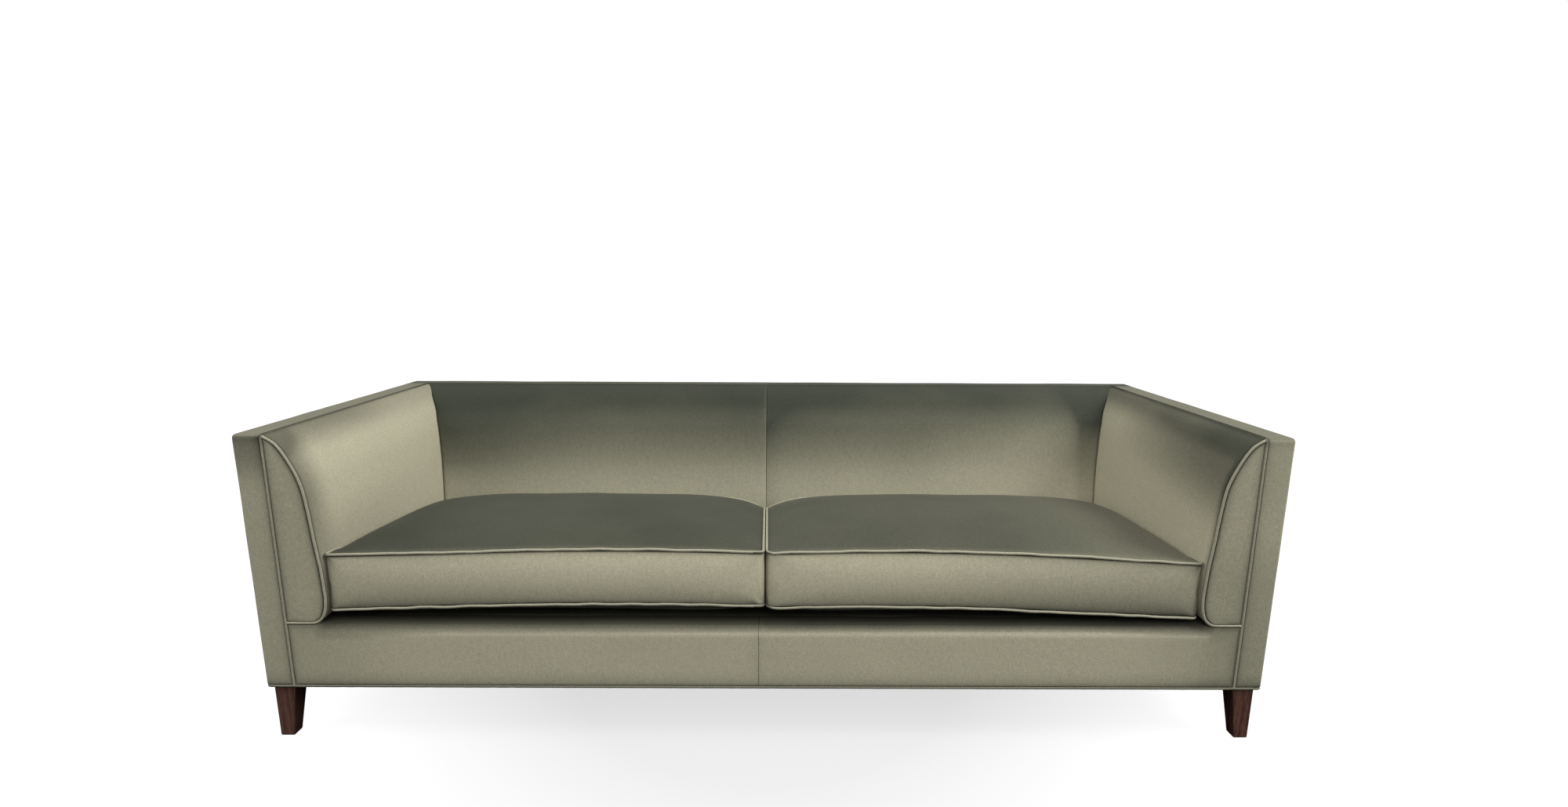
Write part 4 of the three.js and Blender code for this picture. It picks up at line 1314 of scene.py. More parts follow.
@dataclass
class BackUpholstery:
    """Padding, border and outer cover of the back."""

    wardrobe: Wardrobe
    rail_lift: float = 0.0018
    rail_height: float = 0.1
    top_rail_height: float = 0.045
    upright_height_shares: tuple[float, ...] = (0, 0.32, 0.885, 1)
    hip_share: float = 0.68
    border_cloth: float = 0.0045
    border_thickness: float = 0.0052
    outer_side_gap: float = 0.0056

    def build(self) -> None:
        """Builds the back's pieces."""
        for hand in Hand:
            self.build_padding(hand)
        self.build_border()
        self.build_outer_cover()

    def support_at(self, height: Points) -> Points:
        """Distance forwards from the rear to what carries the padding.

        Args:
            height: Heights to read at.

        Returns:
            The distances at those heights.
        """
        low = SIZES.leg_height + self.rail_lift + self.rail_height
        tall = SIZES.frame_top - self.top_rail_height - SIZES.clearance - low
        places, foot = [low + tall * share for share in self.upright_height_shares], SIZES.upright_foot
        depths = [foot, foot, foot * self.hip_share, SIZES.top_rail_width]
        return SIZES.rear - SIZES.timber_rear + SIZES.clearance + np.interp(height, places, depths)

    @staticmethod
    def padding_nap(pile: Pile) -> Points:
        """Paints shade into the back's pile: pale above the seat and dark towards the top, where it faces
        up.

        Args:
            pile: Points of the padding.

        Returns:
            How dark each point is, by the pile's lay and by painted shade.
        """
        side, height = pile.x, pile.z
        # Painted shade: darker to the left, in the middle, right of the middle seam and at the right arm's
        # corner; paler low on the right and just left of the seam
        left = 0.07 * rise(-side, 0.45, 0.95) * rise(height, 0.40, 0.48)
        right = 0.085 * rise(side, 0.36, 0.85) * (1 - 0.85 * rise(height, 0.5, 0.64))
        middle = 0.03 * (1 - rise(np.abs(side), 0.08, 0.4)) * rise(height, 0.42, 0.5)
        beside = side - SIZES.back_seam_x
        shade = np.where(beside > 0, 0.13 * np.exp(-beside / 0.045), -0.1 * np.exp(beside / 0.006))
        corner = 0.2 * np.exp(-np.maximum(0.905 - side, 0) / 0.016)
        heights = (0.30, 0.36, 0.40, 0.46, 0.52, 0.58, 0.64, 0.70)
        naps = (0.14, 0.32, 0.42, 0.53, 0.68, 0.85, 0.96, 1.0)
        return np.interp(height + left - right, heights, naps) + middle + shade + corner

    def build_padding(self, hand: Hand) -> None:
        """Builds one half of the padded inside of the back.

        Args:
            hand: Which half.
        """
        line = BACK_PROFILE.line()
        line[0, 0] = float(self.support_at(BACK_PROFILE.bottom))
        route, gap = Route(line), SIZES.clearance
        section = route.at(edge_spaced(route.length, 0.011, low=False))
        start = SIZES.back_seam_x + hand.value * gap / 2
        ends = hand.value * (SIZES.half_width - ARM_PROFILE.inwards_at(section[:, 1]) - gap)
        shares = edge_spaced(SIZES.border_seam, 0.014) / SIZES.border_seam
        x = start + (ends[:, None] - start) * shares
        grid = lattice(x, SIZES.rear - section[:, :1], section[:, 1:])
        turns = EdgeTurns(0.0, 0.0032, 0.0014, 0.009, creases=(1, 0.8, 0.12, 0.45))
        relief = Relief(51 + hand.value, wave_depth=0.0008, wave_length=0.26, pucker_depth=0.0003)
        outer, seam = upholster(grid, (0, -1, 0.3), turns, relief)
        height = np.minimum(section[:, 1:], SIZES.frame_top - gap)
        inner = lattice(x, SIZES.rear - self.support_at(height), height)
        self.wardrobe.cover(f"back_padding_{hand.word}", (outer, inner, seam), f"back_pad_{hand.word}",
                            0.9, self.padding_nap)

    def build_border(self) -> None:
        """Builds the strip along the top of the back, which wraps its rear edge and ends."""
        wrap, side, top, end = SIZES.border_wrap, SIZES.face_side, SIZES.face_top, SIZES.face_rear
        rear_line = [(SIZES.border_rear_seam + SIZES.seam_gap, top), (end, top), (end, top - wrap)]
        side_line = [(-side, -wrap), (-side, 0), (side, 0), (side, -wrap)]
        deep, wide = (Route(rounded_route(line, wrap * 0.96, 8)) for line in (rear_line, side_line))
        across = deep.at(edge_spaced(deep.length, 0.008, high=False))
        along = wide.at(edge_spaced(wide.length, 0.02, low=False, high=False))
        corner = wide.at(np.linspace(0, 0.012, 9))
        rest = along[np.abs(along[:, 0]) < -corner[-1, 0] - 0.003]
        along = np.vstack([corner, rest, (corner * (-1, 1))[::-1]])
        height = np.maximum(across[:, 1] + along[:, 1:], top - wrap)
        grid = lattice(along[:, :1], across[:, 0], height)
        relief = Relief(61, wave_depth=0.0003, wave_length=0.2)
        outer, seam = upholster(grid, (0, 0.2, 1), EdgeTurns(first_column=0.0024), relief)
        reach = side - self.border_cloth
        inner = lattice(np.clip(along[:, :1], -reach, reach),
                        np.minimum(across[:, 0], end - self.border_cloth), top - self.border_thickness)
        self.wardrobe.cover("back_border_cover", (outer, inner, seam), "back_border", 0.95)

    def build_outer_cover(self) -> None:
        """Builds the cloth on the outside of the back."""
        half, tall = SIZES.face_side - self.outer_side_gap, SIZES.outer_cover_top - SIZES.cover_bottom
        heights = SIZES.cover_bottom + edge_spaced(tall, 0.02)
        grid = lattice(edge_spaced(2 * half, 0.02) - half, SIZES.face_rear, heights[:, None])
        relief = Relief(71, wave_depth=0.0008, wave_length=0.35)
        outer, seam = upholster(grid, (0, 1, 0), EdgeTurns(0.0016, 0.0016, 0.0016, 0.0016), relief)
        inner = grid - (0, SIZES.outer_cloth, 0)
        piece = self.wardrobe.cover("back_outside", (outer, inner, seam), "back_outer_cover")


@dataclass
class FrontRailCover:
    """One half of the padded cover of the front rail.

    Between the arms it rolls over the rail's top. Its wing goes on under the arm's front panel.
    """

    hand: Hand
    wardrobe: Wardrobe
    crest: float = float(SIZES.deck_height(SIZES.front + SIZES.roll_radius)) - SIZES.clearance
    roll_end: float = (
        SIZES.half_width - SIZES.arm_thickness + SIZES.arm_lower_corner - 2 * SIZES.clearance)
    wing_top: float = ARM_PROFILE.bottom + SIZES.welt_radius - SIZES.welt_proud - SIZES.seam_gap
    end_radius: float = 0.006

    def sections(self) -> tuple[Points, Points, slice]:
        """Draws the section that rolls over the rail and the straight one of the wing.

        Returns:
            Both sections in Y and Z, and which of their points lie on the roll.
        """
        face, radius = SIZES.face_front, SIZES.roll_radius
        turn = np.linspace(math.pi, math.pi / 2, 15)
        arc = (face + radius, self.crest - radius) + radius * np.column_stack([np.cos(turn), np.sin(turn)])
        front_run = SIZES.cover_bottom + edge_spaced(arc[0, 1] - SIZES.cover_bottom, 0.011, high=False)
        top_run = arc[-1, 0] + edge_spaced(SIZES.front + SIZES.roll_depth - arc[-1, 0], 0.006, low=False)
        top_height = SIZES.deck_height(top_run) - SIZES.clearance
        top_height[0] = self.crest
        rolled = np.vstack([
            np.stack([np.full(len(front_run), face), front_run], axis=-1)[:-1],
            arc,
            np.stack([top_run, np.minimum(top_height, self.crest)], axis=-1)[1:],
        ])
        roll = slice(len(front_run) - 1, len(front_run) - 1 + len(arc))
        straight = rolled.copy()
        straight[roll, 0] = face
        straight[roll, 1] = arc[0, 1] + (self.wing_top - arc[0, 1]) * np.linspace(0, 1, len(arc))
        straight[roll.stop:] = straight[roll.stop - 1]
        return rolled, straight, roll

    def shaded(self, grid: Points, places: Points, seam: Points) -> Points:
        """Paints shade into the seam values under the seat's edge and under the arm's front panel.

        Args:
            grid: The cover's points.
            places: Their distances from the sofa's middle.
            seam: Painted crease shade of each point.

        Returns:
            The darkened values.
        """
        back, drop = grid[..., 1] - SIZES.face_front - 0.014, self.crest - grid[..., 2]
        reach = 0.0175 - 0.005 * grid[..., 0] + 0.008 * rise(np.abs(grid[..., 0]), 0.66, 0.94)
        lit = 0.27 + 0.73 * np.clip(drop / reach, 0, 1)
        lit = np.where(back > 0, 0.27 * (1 - np.clip(back / 0.042, 0, 1) ** 1.5), lit)
        panel_shade = 0.6 * np.exp(-np.maximum(self.wing_top - grid[..., 2], 0) / 0.007)
        under_seat = 1 - rise(places, self.roll_end - 0.016, self.roll_end + 0.0005)
        return np.maximum(seam, (1 - lit) ** 0.714 * under_seat + panel_shade * (1 - under_seat))

    def build(self) -> None:
        """Builds the cover."""
        rolled, straight, roll = self.sections()
        roll_end, wing_top = self.roll_end, self.wing_top
        wing_end = SIZES.border_seam - SIZES.seam_gap
        start = self.hand.value * SIZES.rail_seam_x + SIZES.clearance / 2
        main = start + edge_spaced(roll_end - start, 0.014)
        places = np.concatenate([main, roll_end + edge_spaced(wing_end - roll_end, 0.009)[1:]])
        rolls = places <= roll_end + TOUCH
        sections = np.where(rolls[None, :, None], rolled[:, None], straight[:, None])
        eased = rise(places, roll_end - 0.03, roll_end - 0.002) * rolls
        sections[roll] += (straight[roll, None] - sections[roll]) * eased[None, :, None]
        grid = crossed(self.hand.value * places, sections)
        turns = EdgeTurns(0.0016, 0.0, 0.0007, 0.0022, creases=(1, 1, 0.08, 1))
        relief = Relief(81 + self.hand.value, wave_depth=0.0006, wave_length=0.2, pucker_depth=0.0002)
        outer, seam = upholster(grid, (0, -1, 0.4), turns, relief)
        beyond = np.clip(1 - (roll_end - places) / self.end_radius, 0, 1) * rolls
        upper = (np.arange(len(rolled)) >= roll.start)[:, None]
        outer[..., 2] -= self.end_radius * (1 - np.sqrt(1 - beyond**2)) * upper * (1 - eased)
        outer[..., 1] += turned_depth(np.maximum(wing_top - grid[..., 2], 0), 0.0022) * ~rolls
        inner = grid.copy()
        inner[..., 1] = np.maximum(grid[..., 1], SIZES.timber_front - SIZES.clearance)
        ceiling = SIZES.deck_height(inner[..., 1]) - (SIZES.deck_thickness - SIZES.clearance)
        inner[..., 2] = np.minimum(grid[..., 2], np.where(rolls, ceiling, wing_top - 0.0005))
        cells = np.ones(np.subtract(seam.shape, 1), bool)
        cells[roll.stop - 1:, len(main) - 1:] = False
        word = self.hand.word
        self.wardrobe.cover(f"front_rail_padding_{word}", (outer, inner, self.shaded(grid, places, seam)),
                            f"front_rail_cover_{word}", 0.9, cells=cells)


@dataclass
class FrameWelts:
    """Welts of the border, the arm fronts and the bottom edge, and the rail's stitched seam."""

    piping: Piping
    spacing: float = 0.004
    hem_spacing: float = 0.005
    border_radius: float = 0.0075
    border_tuck: float = 0.002
    hem_radius: float = 0.006
    seam_bottom: float = SIZES.cover_bottom + 0.003
    seam_top: float = 0.243
    panel_inset: float = SIZES.welt_radius - SIZES.welt_proud
    panel_side_gap: float = 0.0015
    panel_start_gap: float = 0.002
    panel_top_gap: float = 0.0045

    def build(self) -> None:
        """Builds the welts and the stitches."""
        sink = SIZES.welt_radius
        side, front, rear = SIZES.border_seam, SIZES.front + sink, SIZES.border_rear_seam
        top, low = SIZES.height - sink, SIZES.cover_bottom - self.border_tuck
        up_left = [(-side, front, low), (-side, front, top), (-side, rear, top)]
        down_right = [(-x, y, z) for x, y, z in reversed(up_left)]
        route = Route(rounded_route(up_left + down_right, self.border_radius, 10))
        self.piping.welt("border_piping", route.at(np.arange(0, route.length, self.spacing)), FRAME_BODY,
                         "border_welt", nap=self.border_nap)
        for hand in Hand:
            self.build_arm_front(hand)
        out, rear, hem = SIZES.half_width - sink, SIZES.rear - sink, SIZES.leg_height + sink
        corners = [(-out, rear, hem), (-out, front, hem), (out, front, hem), (out, rear, hem)]
        route = rounded_route(corners, self.hem_radius, 8, closed=True)
        loop = Route(np.vstack([route, route[:1]]))
        line = loop.at(np.arange(0, loop.length - 0.002, self.hem_spacing))
        self.piping.welt("hem_piping", line, FRAME_BODY, "hem_welt", nap=self.hem_nap, closed=True)
        heights = np.linspace(self.seam_bottom, self.seam_top, 30)
        seam_line = lattice(SIZES.rail_seam_x, SIZES.face_front + 0.0004, heights)
        self.piping.stitch_row("rail_seam_stitches", seam_line, FRAME_BODY)

    @staticmethod
    def border_nap(pile: Pile) -> Points:
        """Paints shade into the border's welt: darker along the tops and towards the back."""
        return 0.42 + 0.4 * rise(pile.z, 0.66, 0.685) + 0.3 * rise(pile.y, 0.24, 0.34)

    @staticmethod
    def hem_nap(pile: Pile) -> Points:
        """Paints shade into the bottom welt: dark, and darkest on its underside."""
        return 0.85 - 0.3 * pile.up

    def build_arm_front(self, hand: Hand) -> None:
        """Builds the welt round one arm's front panel.

        Args:
            hand: Which arm.
        """
        profile = Route(ARM_PROFILE.line())
        line = profile.at(np.linspace(0, profile.length, 700))
        line = line + left_of(line) * self.panel_inset
        out, high = SIZES.border_width, SIZES.height - self.panel_top_gap
        line = line[(line[:, 0] > out + self.panel_side_gap) & (line[:, 1] < high)]
        route = Route(line[np.argmax(line[:, 0] > out + self.panel_start_gap):])
        inwards, height = route.at(np.arange(0, route.length, self.spacing)).T
        x = hand.value * (SIZES.half_width - inwards)
        self.piping.welt(f"arm_front_piping_{hand.word}",
                         lattice(x, SIZES.front + SIZES.welt_radius, height), FRAME_BODY,
                         f"arm_front_welt_{hand.word}")


@dataclass(frozen=True)
class CushionForm:
    """How one loose cushion lies.

    The lifts of its front edge are listed at equal steps from the sofa's middle to the arm.
    """

    front_inner_radius: float
    front_outer_radius: float
    top_lifts: tuple[float, ...]
    base_lifts: tuple[float, ...]
    # Darkness of the top: painted shade where it faces up, as well as the pile's lay
    top_nap: float
    seed: int


CUSHION_FORMS = {
    Hand.LEFT: CushionForm(
        0.009, 0.010, (0.013, 0.0117, 0.0083, 0.0032, 0.0032),
        (0.0165, 0.0195, 0.0185, 0.012, 0.004), 0.96, 101),
    Hand.RIGHT: CushionForm(
        0.022, 0.010, (0.011, 0.0105, 0.0055, -0.0025, -0.0108),
        (0.012, 0.015, 0.0118, 0.001, -0.008), 0.925, 202),
}


@dataclass
class SeatCushion:
    """One loose boxed cushion: its crowned body and its two welts."""

    hand: Hand
    wardrobe: Wardrobe
    piping: Piping
    setback: float = 0.003
    side_gap: float = 0.0015
    middle_gap: float = 0.001
    rear_gap: float = 0.0005
    base_crown: float = 0.025
    boxing_height: float = 0.123
    top_crown: float = 0.033
    front_bow: float = 0.009
    side_bow: float = 0.006
    seam_inset: float = 0.0044
    draw_in: float = -0.0016
    boxing_inset: float = 0.0015
    seam_radius: float = 0.0034
    rear_radius: float = 0.02
    inner_sag: float = 0.036
    outer_sag: float = 0.014
    base_sag: float = 0.012
    sag_reach: float = 0.046
    arm_squeeze: float = 0.011
    wall_upright_to: float = 0.345
    most_swell: float = 0.010
    cloth_frames: int = 20
    arm_room: float = 0.0012
    end_room: float = 0.0005
    welt_inset: float = 0.0031
    welt_spacing: float = 0.004

    def __post_init__(self) -> None:
        """Works out the cushion's plan."""
        self.form = CUSHION_FORMS[self.hand]
        self.width = SIZES.half_width - SIZES.arm_thickness - self.side_gap - self.middle_gap / 2
        run = SIZES.depth - SIZES.back_thickness - self.setback - self.rear_gap
        lean = (self.base_crown + self.boxing_height + SIZES.welt_radius) * math.sin(SIZES.seat_pitch)
        self.depth = (run - lean) / math.cos(SIZES.seat_pitch)
        self.middle = self.hand.value * (self.middle_gap + self.width) / 2
        self.body = f"seat_cushion_{self.hand.word}"

    def inner_share(self, x: Points) -> Points:
        """Share of the way from the cushion's outer side to the sofa's middle."""
        return np.clip(0.5 - self.hand.value * x / self.width, 0, 1)

    def lifted(self, places: Points, lifts: tuple[float, ...]) -> Points:
        """How far the lie of the cushion lifts each place.

        Args:
            places: Places on the plan.
            lifts: Lifts of the front edge at equal steps from the sofa's middle to the arm.

        Returns:
            The lifts.
        """
        line = spline_through(np.column_stack([np.linspace(0, 1, len(lifts)), lifts]), 12)
        share = 1 - self.inner_share(places[..., 0])
        towards_front = np.clip(0.5 - places[..., 1] / self.depth, 0, 1)
        return np.interp(share, line[:, 0], line[:, 1]) * towards_front**1.5

    def sagged(self, places: Points, inner: float, outer: float) -> Points:
        """How far the rear corners sink into the gap before the back.

        Args:
            places: Places on the plan.
            inner: Sag of the rear corner next to the other cushion.
            outer: Sag of the rear corner next to the arm.

        Returns:
            The sags.
        """
        share = self.inner_share(places[..., 0])
        towards_rear = np.clip((places[..., 1] / self.depth + 0.5 - 0.69) / 0.31, 0, 1)
        beside = np.exp(-((1 - share) * self.width / self.sag_reach) ** 1.1)
        by_arm = np.exp(-(share * self.width / self.sag_reach) ** 1.1)
        return (inner * beside + outer * by_arm) * towards_rear**1.6

    def out_shares(self, places: Points, inset: float = 0.0) -> tuple[Points, Points]:
        """Shares of the way from the cushion's middle to its sides and to its ends."""
        half = np.array([self.width, self.depth]) / 2 - inset
        return tuple(np.moveaxis(np.clip(np.abs(places) / half, 0, 1), -1, 0))

    def top_seam(self, places: Points) -> Points:
        """Height of the upper seam's surface over each place of the plan.

        Args:
            places: Places on the plan.

        Returns:
            The heights over the deck.
        """
        across, along = self.out_shares(places)
        bow = self.front_bow * (1 - across**2) + self.side_bow * (1 - along**2)
        lift = self.lifted(places, self.form.top_lifts) - self.sagged(places, self.inner_sag, self.outer_sag)
        outwards, half = self.hand.value * places[..., 0], self.width / 2
        squeeze = self.arm_squeeze * rise(outwards, half - 0.016, half - 0.004)
        squeeze = squeeze * rise(places[..., 1] + self.depth / 2, 0.03, 0.12)
        return self.base_crown + self.boxing_height + bow + lift - squeeze

    def base_seam(self, places: Points) -> Points:
        """Height of the lower seam's surface over each place."""
        sag = self.sagged(places, self.base_sag, self.base_sag / 2)
        return self.base_crown + self.lifted(places, self.form.base_lifts) - sag

    def crown(self, places: Points, power: float) -> Points:
        """Share of the crown over each place: one in the middle and none at the seam."""
        across, along = self.out_shares(places, self.seam_inset)
        return (1 - across**(power + 2)) * (1 - along**power)

    def plan(self) -> Points:
        """Grid over the cushion's plan with its corners rounded.

        Returns:
            Places in rows from the front to the back.
        """
        half = np.array([self.width, self.depth]) / 2 - self.seam_inset
        grid = np.stack(np.meshgrid(*(edge_spaced(2 * side, 0.0125) - side for side in half)), axis=-1)
        for signs in np.array([(-1, -1), (-1, 1), (1, -1), (1, 1)]):
            inner = signs[0] == -self.hand.value
            front = self.form.front_inner_radius if inner else self.form.front_outer_radius
            radius = front if signs[1] < 0 else self.rear_radius
            local = grid * signs - (half - radius)
            near = (local > 0).all(axis=-1)
            scale = np.where(near, local.max(axis=-1) / (np.linalg.norm(local, axis=-1) + 1e-12), 1)
            rounded = ((half - radius) + local * scale[..., None]) * signs
            grid = np.where(near[..., None], rounded, grid)
        return grid

    def meeting_line(self, depth: Points) -> Points:
        """X of the line where the two cushions meet, at distances from their front."""
        return SIZES.cushion_drift * np.clip(depth / self.depth, 0, 1)

    def in_sofa(self, local: Points) -> Points:
        """Turns points over the sloping deck into the sofa's frame.

        Args:
            local: Points as X from the cushion's middle, Y from its middle and height over the deck.

        Returns:
            The points in the sofa's frame.
        """
        sine, cosine = math.sin(SIZES.seat_pitch), math.cos(SIZES.seat_pitch)
        x, y, z = local[..., 0], local[..., 1] + self.depth / 2, local[..., 2] + SIZES.clearance
        front = SIZES.front + self.setback
        drift = self.meeting_line(y) * self.inner_share(x)
        height = SIZES.deck_height(front) - y * sine + z * cosine
        return lattice(x + self.middle + drift, front + y * cosine + z * sine, height)

    def boxing(self, seam_plan: Points, outward: Points, marks: Points) -> Points:
        """Draws the rings of the boxing between the two seams.

        Args:
            seam_plan: The seams' line on the plan.
            outward: Its directions outwards.
            marks: Heights of the rings over the lower seam of a level cushion.

        Returns:
            Points over the deck, ring by ring.
        """
        low, high, rings = self.base_seam(seam_plan), self.top_seam(seam_plan), []
        for mark in marks:
            share = mark / self.boxing_height
            sink = turned_depth(min(mark, self.boxing_height - mark), self.seam_radius)
            inset = self.boxing_inset + self.draw_in * math.sin(math.pi * share) + sink * 0.85
            ring = seam_plan + outward * (self.seam_inset - inset)
            rings.append(np.column_stack([ring, low + (high - low) * share]))
        return np.stack(rings)

    def build(self) -> None:
        """Builds the cushion's body and welts."""
        plan = self.plan()
        rows, columns = plan.shape[:2]
        count = rows * columns
        top = np.dstack([plan, self.top_seam(plan) + self.top_crown * self.crown(plan, 3.0)])
        base = np.dstack([plan, self.base_seam(plan) * (1 - self.crown(plan, 8.0))])
        loop = np.concatenate([
            np.arange(columns),
            np.arange(1, rows) * columns + columns - 1,
            (rows - 1) * columns + np.arange(columns - 2, -1, -1),
            np.arange(rows - 2, 0, -1) * columns,
        ])
        seam_plan = plan.reshape(-1, 2)[loop]
        tangent = np.roll(seam_plan, -1, axis=0) - np.roll(seam_plan, 1, axis=0)
        tangent /= np.linalg.norm(tangent, axis=1, keepdims=True)
        outward = np.stack([tangent[:, 1], -tangent[:, 0]], axis=-1)
        marks = edge_spaced(self.boxing_height, 0.011)[1:-1]
        side = self.boxing(seam_plan, outward, marks)
        points = np.concatenate([part.reshape(-1, 3) for part in (top, base, side)])
        panel = np.stack(cell_corners(rows, columns), axis=-1).reshape(-1, 4)
        around = 2 * count + np.arange(len(marks) * len(loop)).reshape(len(marks), len(loop))
        walls = ring_walls(np.vstack([loop + count, around, loop]))
        faces = np.concatenate([panel, panel[:, ::-1] + count, walls])
        distance = np.concatenate([
            np.minimum.reduce(edge_distances(top)).ravel(),
            np.minimum.reduce(edge_distances(base)).ravel(),
            np.repeat(np.minimum(marks, self.boxing_height - marks), len(loop)),
        ])
        points = self.leaned_out(self.in_sofa(self.puckered(points, distance, count)))
        # Painted shade: in the seams' creases, sharper on the boxing, and spread over the underside from its
        # edges
        nearness = np.exp(-distance / 0.0042)
        nearness[2 * count:] = np.exp(-np.maximum(distance - 0.0028, 0) / 0.0022)[2 * count:]
        base_shade = 0.97 * np.exp(-distance / 0.05)
        nearness[count:2 * count] = np.maximum(nearness, base_shade)[count:2 * count]
        piece = add_mesh(f"cushion_body_{self.hand.word}", self.kept_clear(points), faces, nearness)
        self.inflate(piece, distance)
        names = ("cushion_core", "cushion_top_panel", "cushion_base_panel", "cushion_boxing")
        finish_piece(piece, self.wardrobe.velvet_flat, self.body,
                     tuple(f"{name}_{self.hand.word}" for name in names), nap=self.nap)
        self.build_welt("top", seam_plan, outward, self.top_seam(seam_plan))
        self.build_welt("base", seam_plan, outward, self.base_seam(seam_plan))

    def nap(self, pile: Pile) -> Points:
        """Paints light and shade into the cushion's pile: dark on its top, paler on its sides and along its
        front edge, dark underneath.

        Args:
            pile: Points of the cushion.

        Returns:
            How dark each point is, by the pile's lay and by painted light and shade.
        """
        # Painted shade: the top dark where it faces up, paler along the front edge and towards the right;
        # the sides darker towards both ends, at the seams, low down and underneath
        top = self.form.top_nap - 0.18 * (1 - rise(pile.depth, 0.01, 0.04)) - 0.17 * rise(pile.x, 0.5, 0.9)
        side = 0.27 + 0.25 * rise(pile.x, 0.15, 1.0) + 0.1 * rise(-pile.x, 0.3, 0.9)
        level = np.clip((pile.z - 0.3) / 0.12, 0, 1)
        side = side + 0.34 * pile.nearness**0.2 + 0.26 * (0.5 - level)
        return side + (top - side) * rise(pile.up, 0.35, 0.8) + 0.6 * rise(-pile.up, 0.2, 0.7)

    def leaned_out(self, points: Points) -> Points:
        """Leans the outer side against the arm, whose padding draws back with the height.

        Args:
            points: The cushion's points in the sofa's frame.

        Returns:
            The points with the outer side moved out.
        """
        x, y, z = np.moveaxis(points, -1, 0)
        room = ARM_PROFILE.thickness - ARM_PROFILE.inwards_at(np.maximum(z, self.wall_upright_to))
        outer = self.middle_gap / 2 + self.width
        return lattice(x + self.hand.value * room * rise(self.hand.value * x, outer - 0.09, outer), y, z)

    def puckered(self, points: Points, distance: Points, count: int) -> Points:
        """Adds the small pulls that run in from the seams.

        Args:
            points: The cushion's points over the deck.
            distance: Distance of each from its nearest seam.
            count: Number of points in each panel.

        Returns:
            The changed points.
        """
        places = points * (1, 1, 0.4)
        reach = np.exp(-distance / 0.03) * (1 - np.exp(-distance / 0.005))
        pulls = 0.0005 * ripple(places, 0.022, self.form.seed) * reach
        swell = 0.0011 * ripple(places, 0.2, self.form.seed + 1) * (1 - np.exp(-distance / 0.05))
        points = points.copy()
        points[:count, 2] += pulls[:count] + swell[:count]
        points[2 * count:, 1] += (pulls + 0.4 * swell)[2 * count:]
        return points

    def inflate(self, piece: Piece, distance: Points) -> None:
        """Lets the cover swell as cloth under the filling's pressure.

        Args:
            piece: The cushion's body.
            distance: Distance of each point from its nearest seam.
        """
        start = read_vectors(piece.data, "co")
        held = piece.vertex_groups.new(name="held")
        held.add(np.flatnonzero(distance < 0.0002).tolist(), 1.0, "REPLACE")
        cloth = piece.modifiers.new("filling", "CLOTH")
        for key, value in {
            "quality": 6, "mass": 0.25, "tension_stiffness": 22, "compression_stiffness": 22,
            "shear_stiffness": 9, "bending_stiffness": 1.2, "use_pressure": True,
            "uniform_pressure_force": 2.5, "vertex_group_mass": "held",
        }.items():
            setattr(cloth.settings, key, value)
        cloth.settings.effector_weights.gravity = 0
        cloth.point_cache.frame_start, cloth.point_cache.frame_end = 1, self.cloth_frames
        scene = bpy.context.scene
        for number in range(self.cloth_frames):
            scene.frame_set(number + 1)
        swollen = piece.evaluated_get(bpy.context.evaluated_depsgraph_get()).data
        moved = read_vectors(swollen, "co") - start
        piece.modifiers.remove(cloth)
        piece.vertex_groups.remove(held)
        scene.frame_set(1)
        size = np.linalg.norm(moved, axis=1, keepdims=True)
        LOG.info("%s swells by %.1f mm at most", piece.name, 1000 * size.max())
        moved *= np.minimum(1, self.most_swell / (size + 1e-9))
        piece.data.vertices.foreach_set("co", self.kept_clear(start + moved).ravel())
        piece.data.update()

    def kept_clear(self, points: Points) -> Points:
        """Flattens the cushion where it meets the deck, the arm, the back and its neighbour.

        Args:
            points: The cushion's points in the sofa's frame.

        Returns:
            The points, held inside the space between its neighbours.
        """
        x, y, z = points.T
        arm, back = (
            np.where(z < self.wall_upright_to, wall.thickness, wall.inwards_at(z))
            for wall in (ARM_PROFILE, BACK_PROFILE)
        )
        middle = self.hand.value * self.meeting_line(y - SIZES.front - self.setback)
        inner, outer = middle + self.middle_gap / 2 + SIZES.clearance, SIZES.half_width - arm - self.arm_room
        x = self.hand.value * np.clip(self.hand.value * x, inner, outer)
        y = np.clip(y, SIZES.front + self.end_room, SIZES.rear - back - self.end_room)
        return lattice(x, y, np.maximum(z, SIZES.deck_height(y) + SIZES.clearance))

    def build_welt(self, level: str, seam: Points, outward: Points, height: Points) -> None:
        """Builds one welt.

        Args:
            level: Which seam, top or base.
            seam: The seam's line on the plan.
            outward: Its directions outwards.
            height: Its heights.
        """
        middle = seam + outward * (self.seam_inset - self.welt_inset)
        line = self.leaned_out(self.in_sofa(np.column_stack([middle, height])))
        loop = Route(np.vstack([line, line[:1]]))
        points = loop.at(np.arange(0, loop.length - self.welt_spacing / 2, self.welt_spacing))
        points[:, 2] += 0.0007 * ripple(points, 0.09, self.form.seed + len(level))
        self.piping.welt(f"cushion_{level}_piping_{self.hand.word}", points, self.body,
                         f"cushion_{level}_welt_{self.hand.word}", closed=True)


def ring_walls(rings: Points) -> Points:
    """Joins rings of point numbers, one over the other, by four-sided faces."""
    following = np.roll(rings, -1, axis=1)
    return np.stack([rings[:-1], following[:-1], following[1:], rings[1:]], axis=-1).reshape(-1, 4)


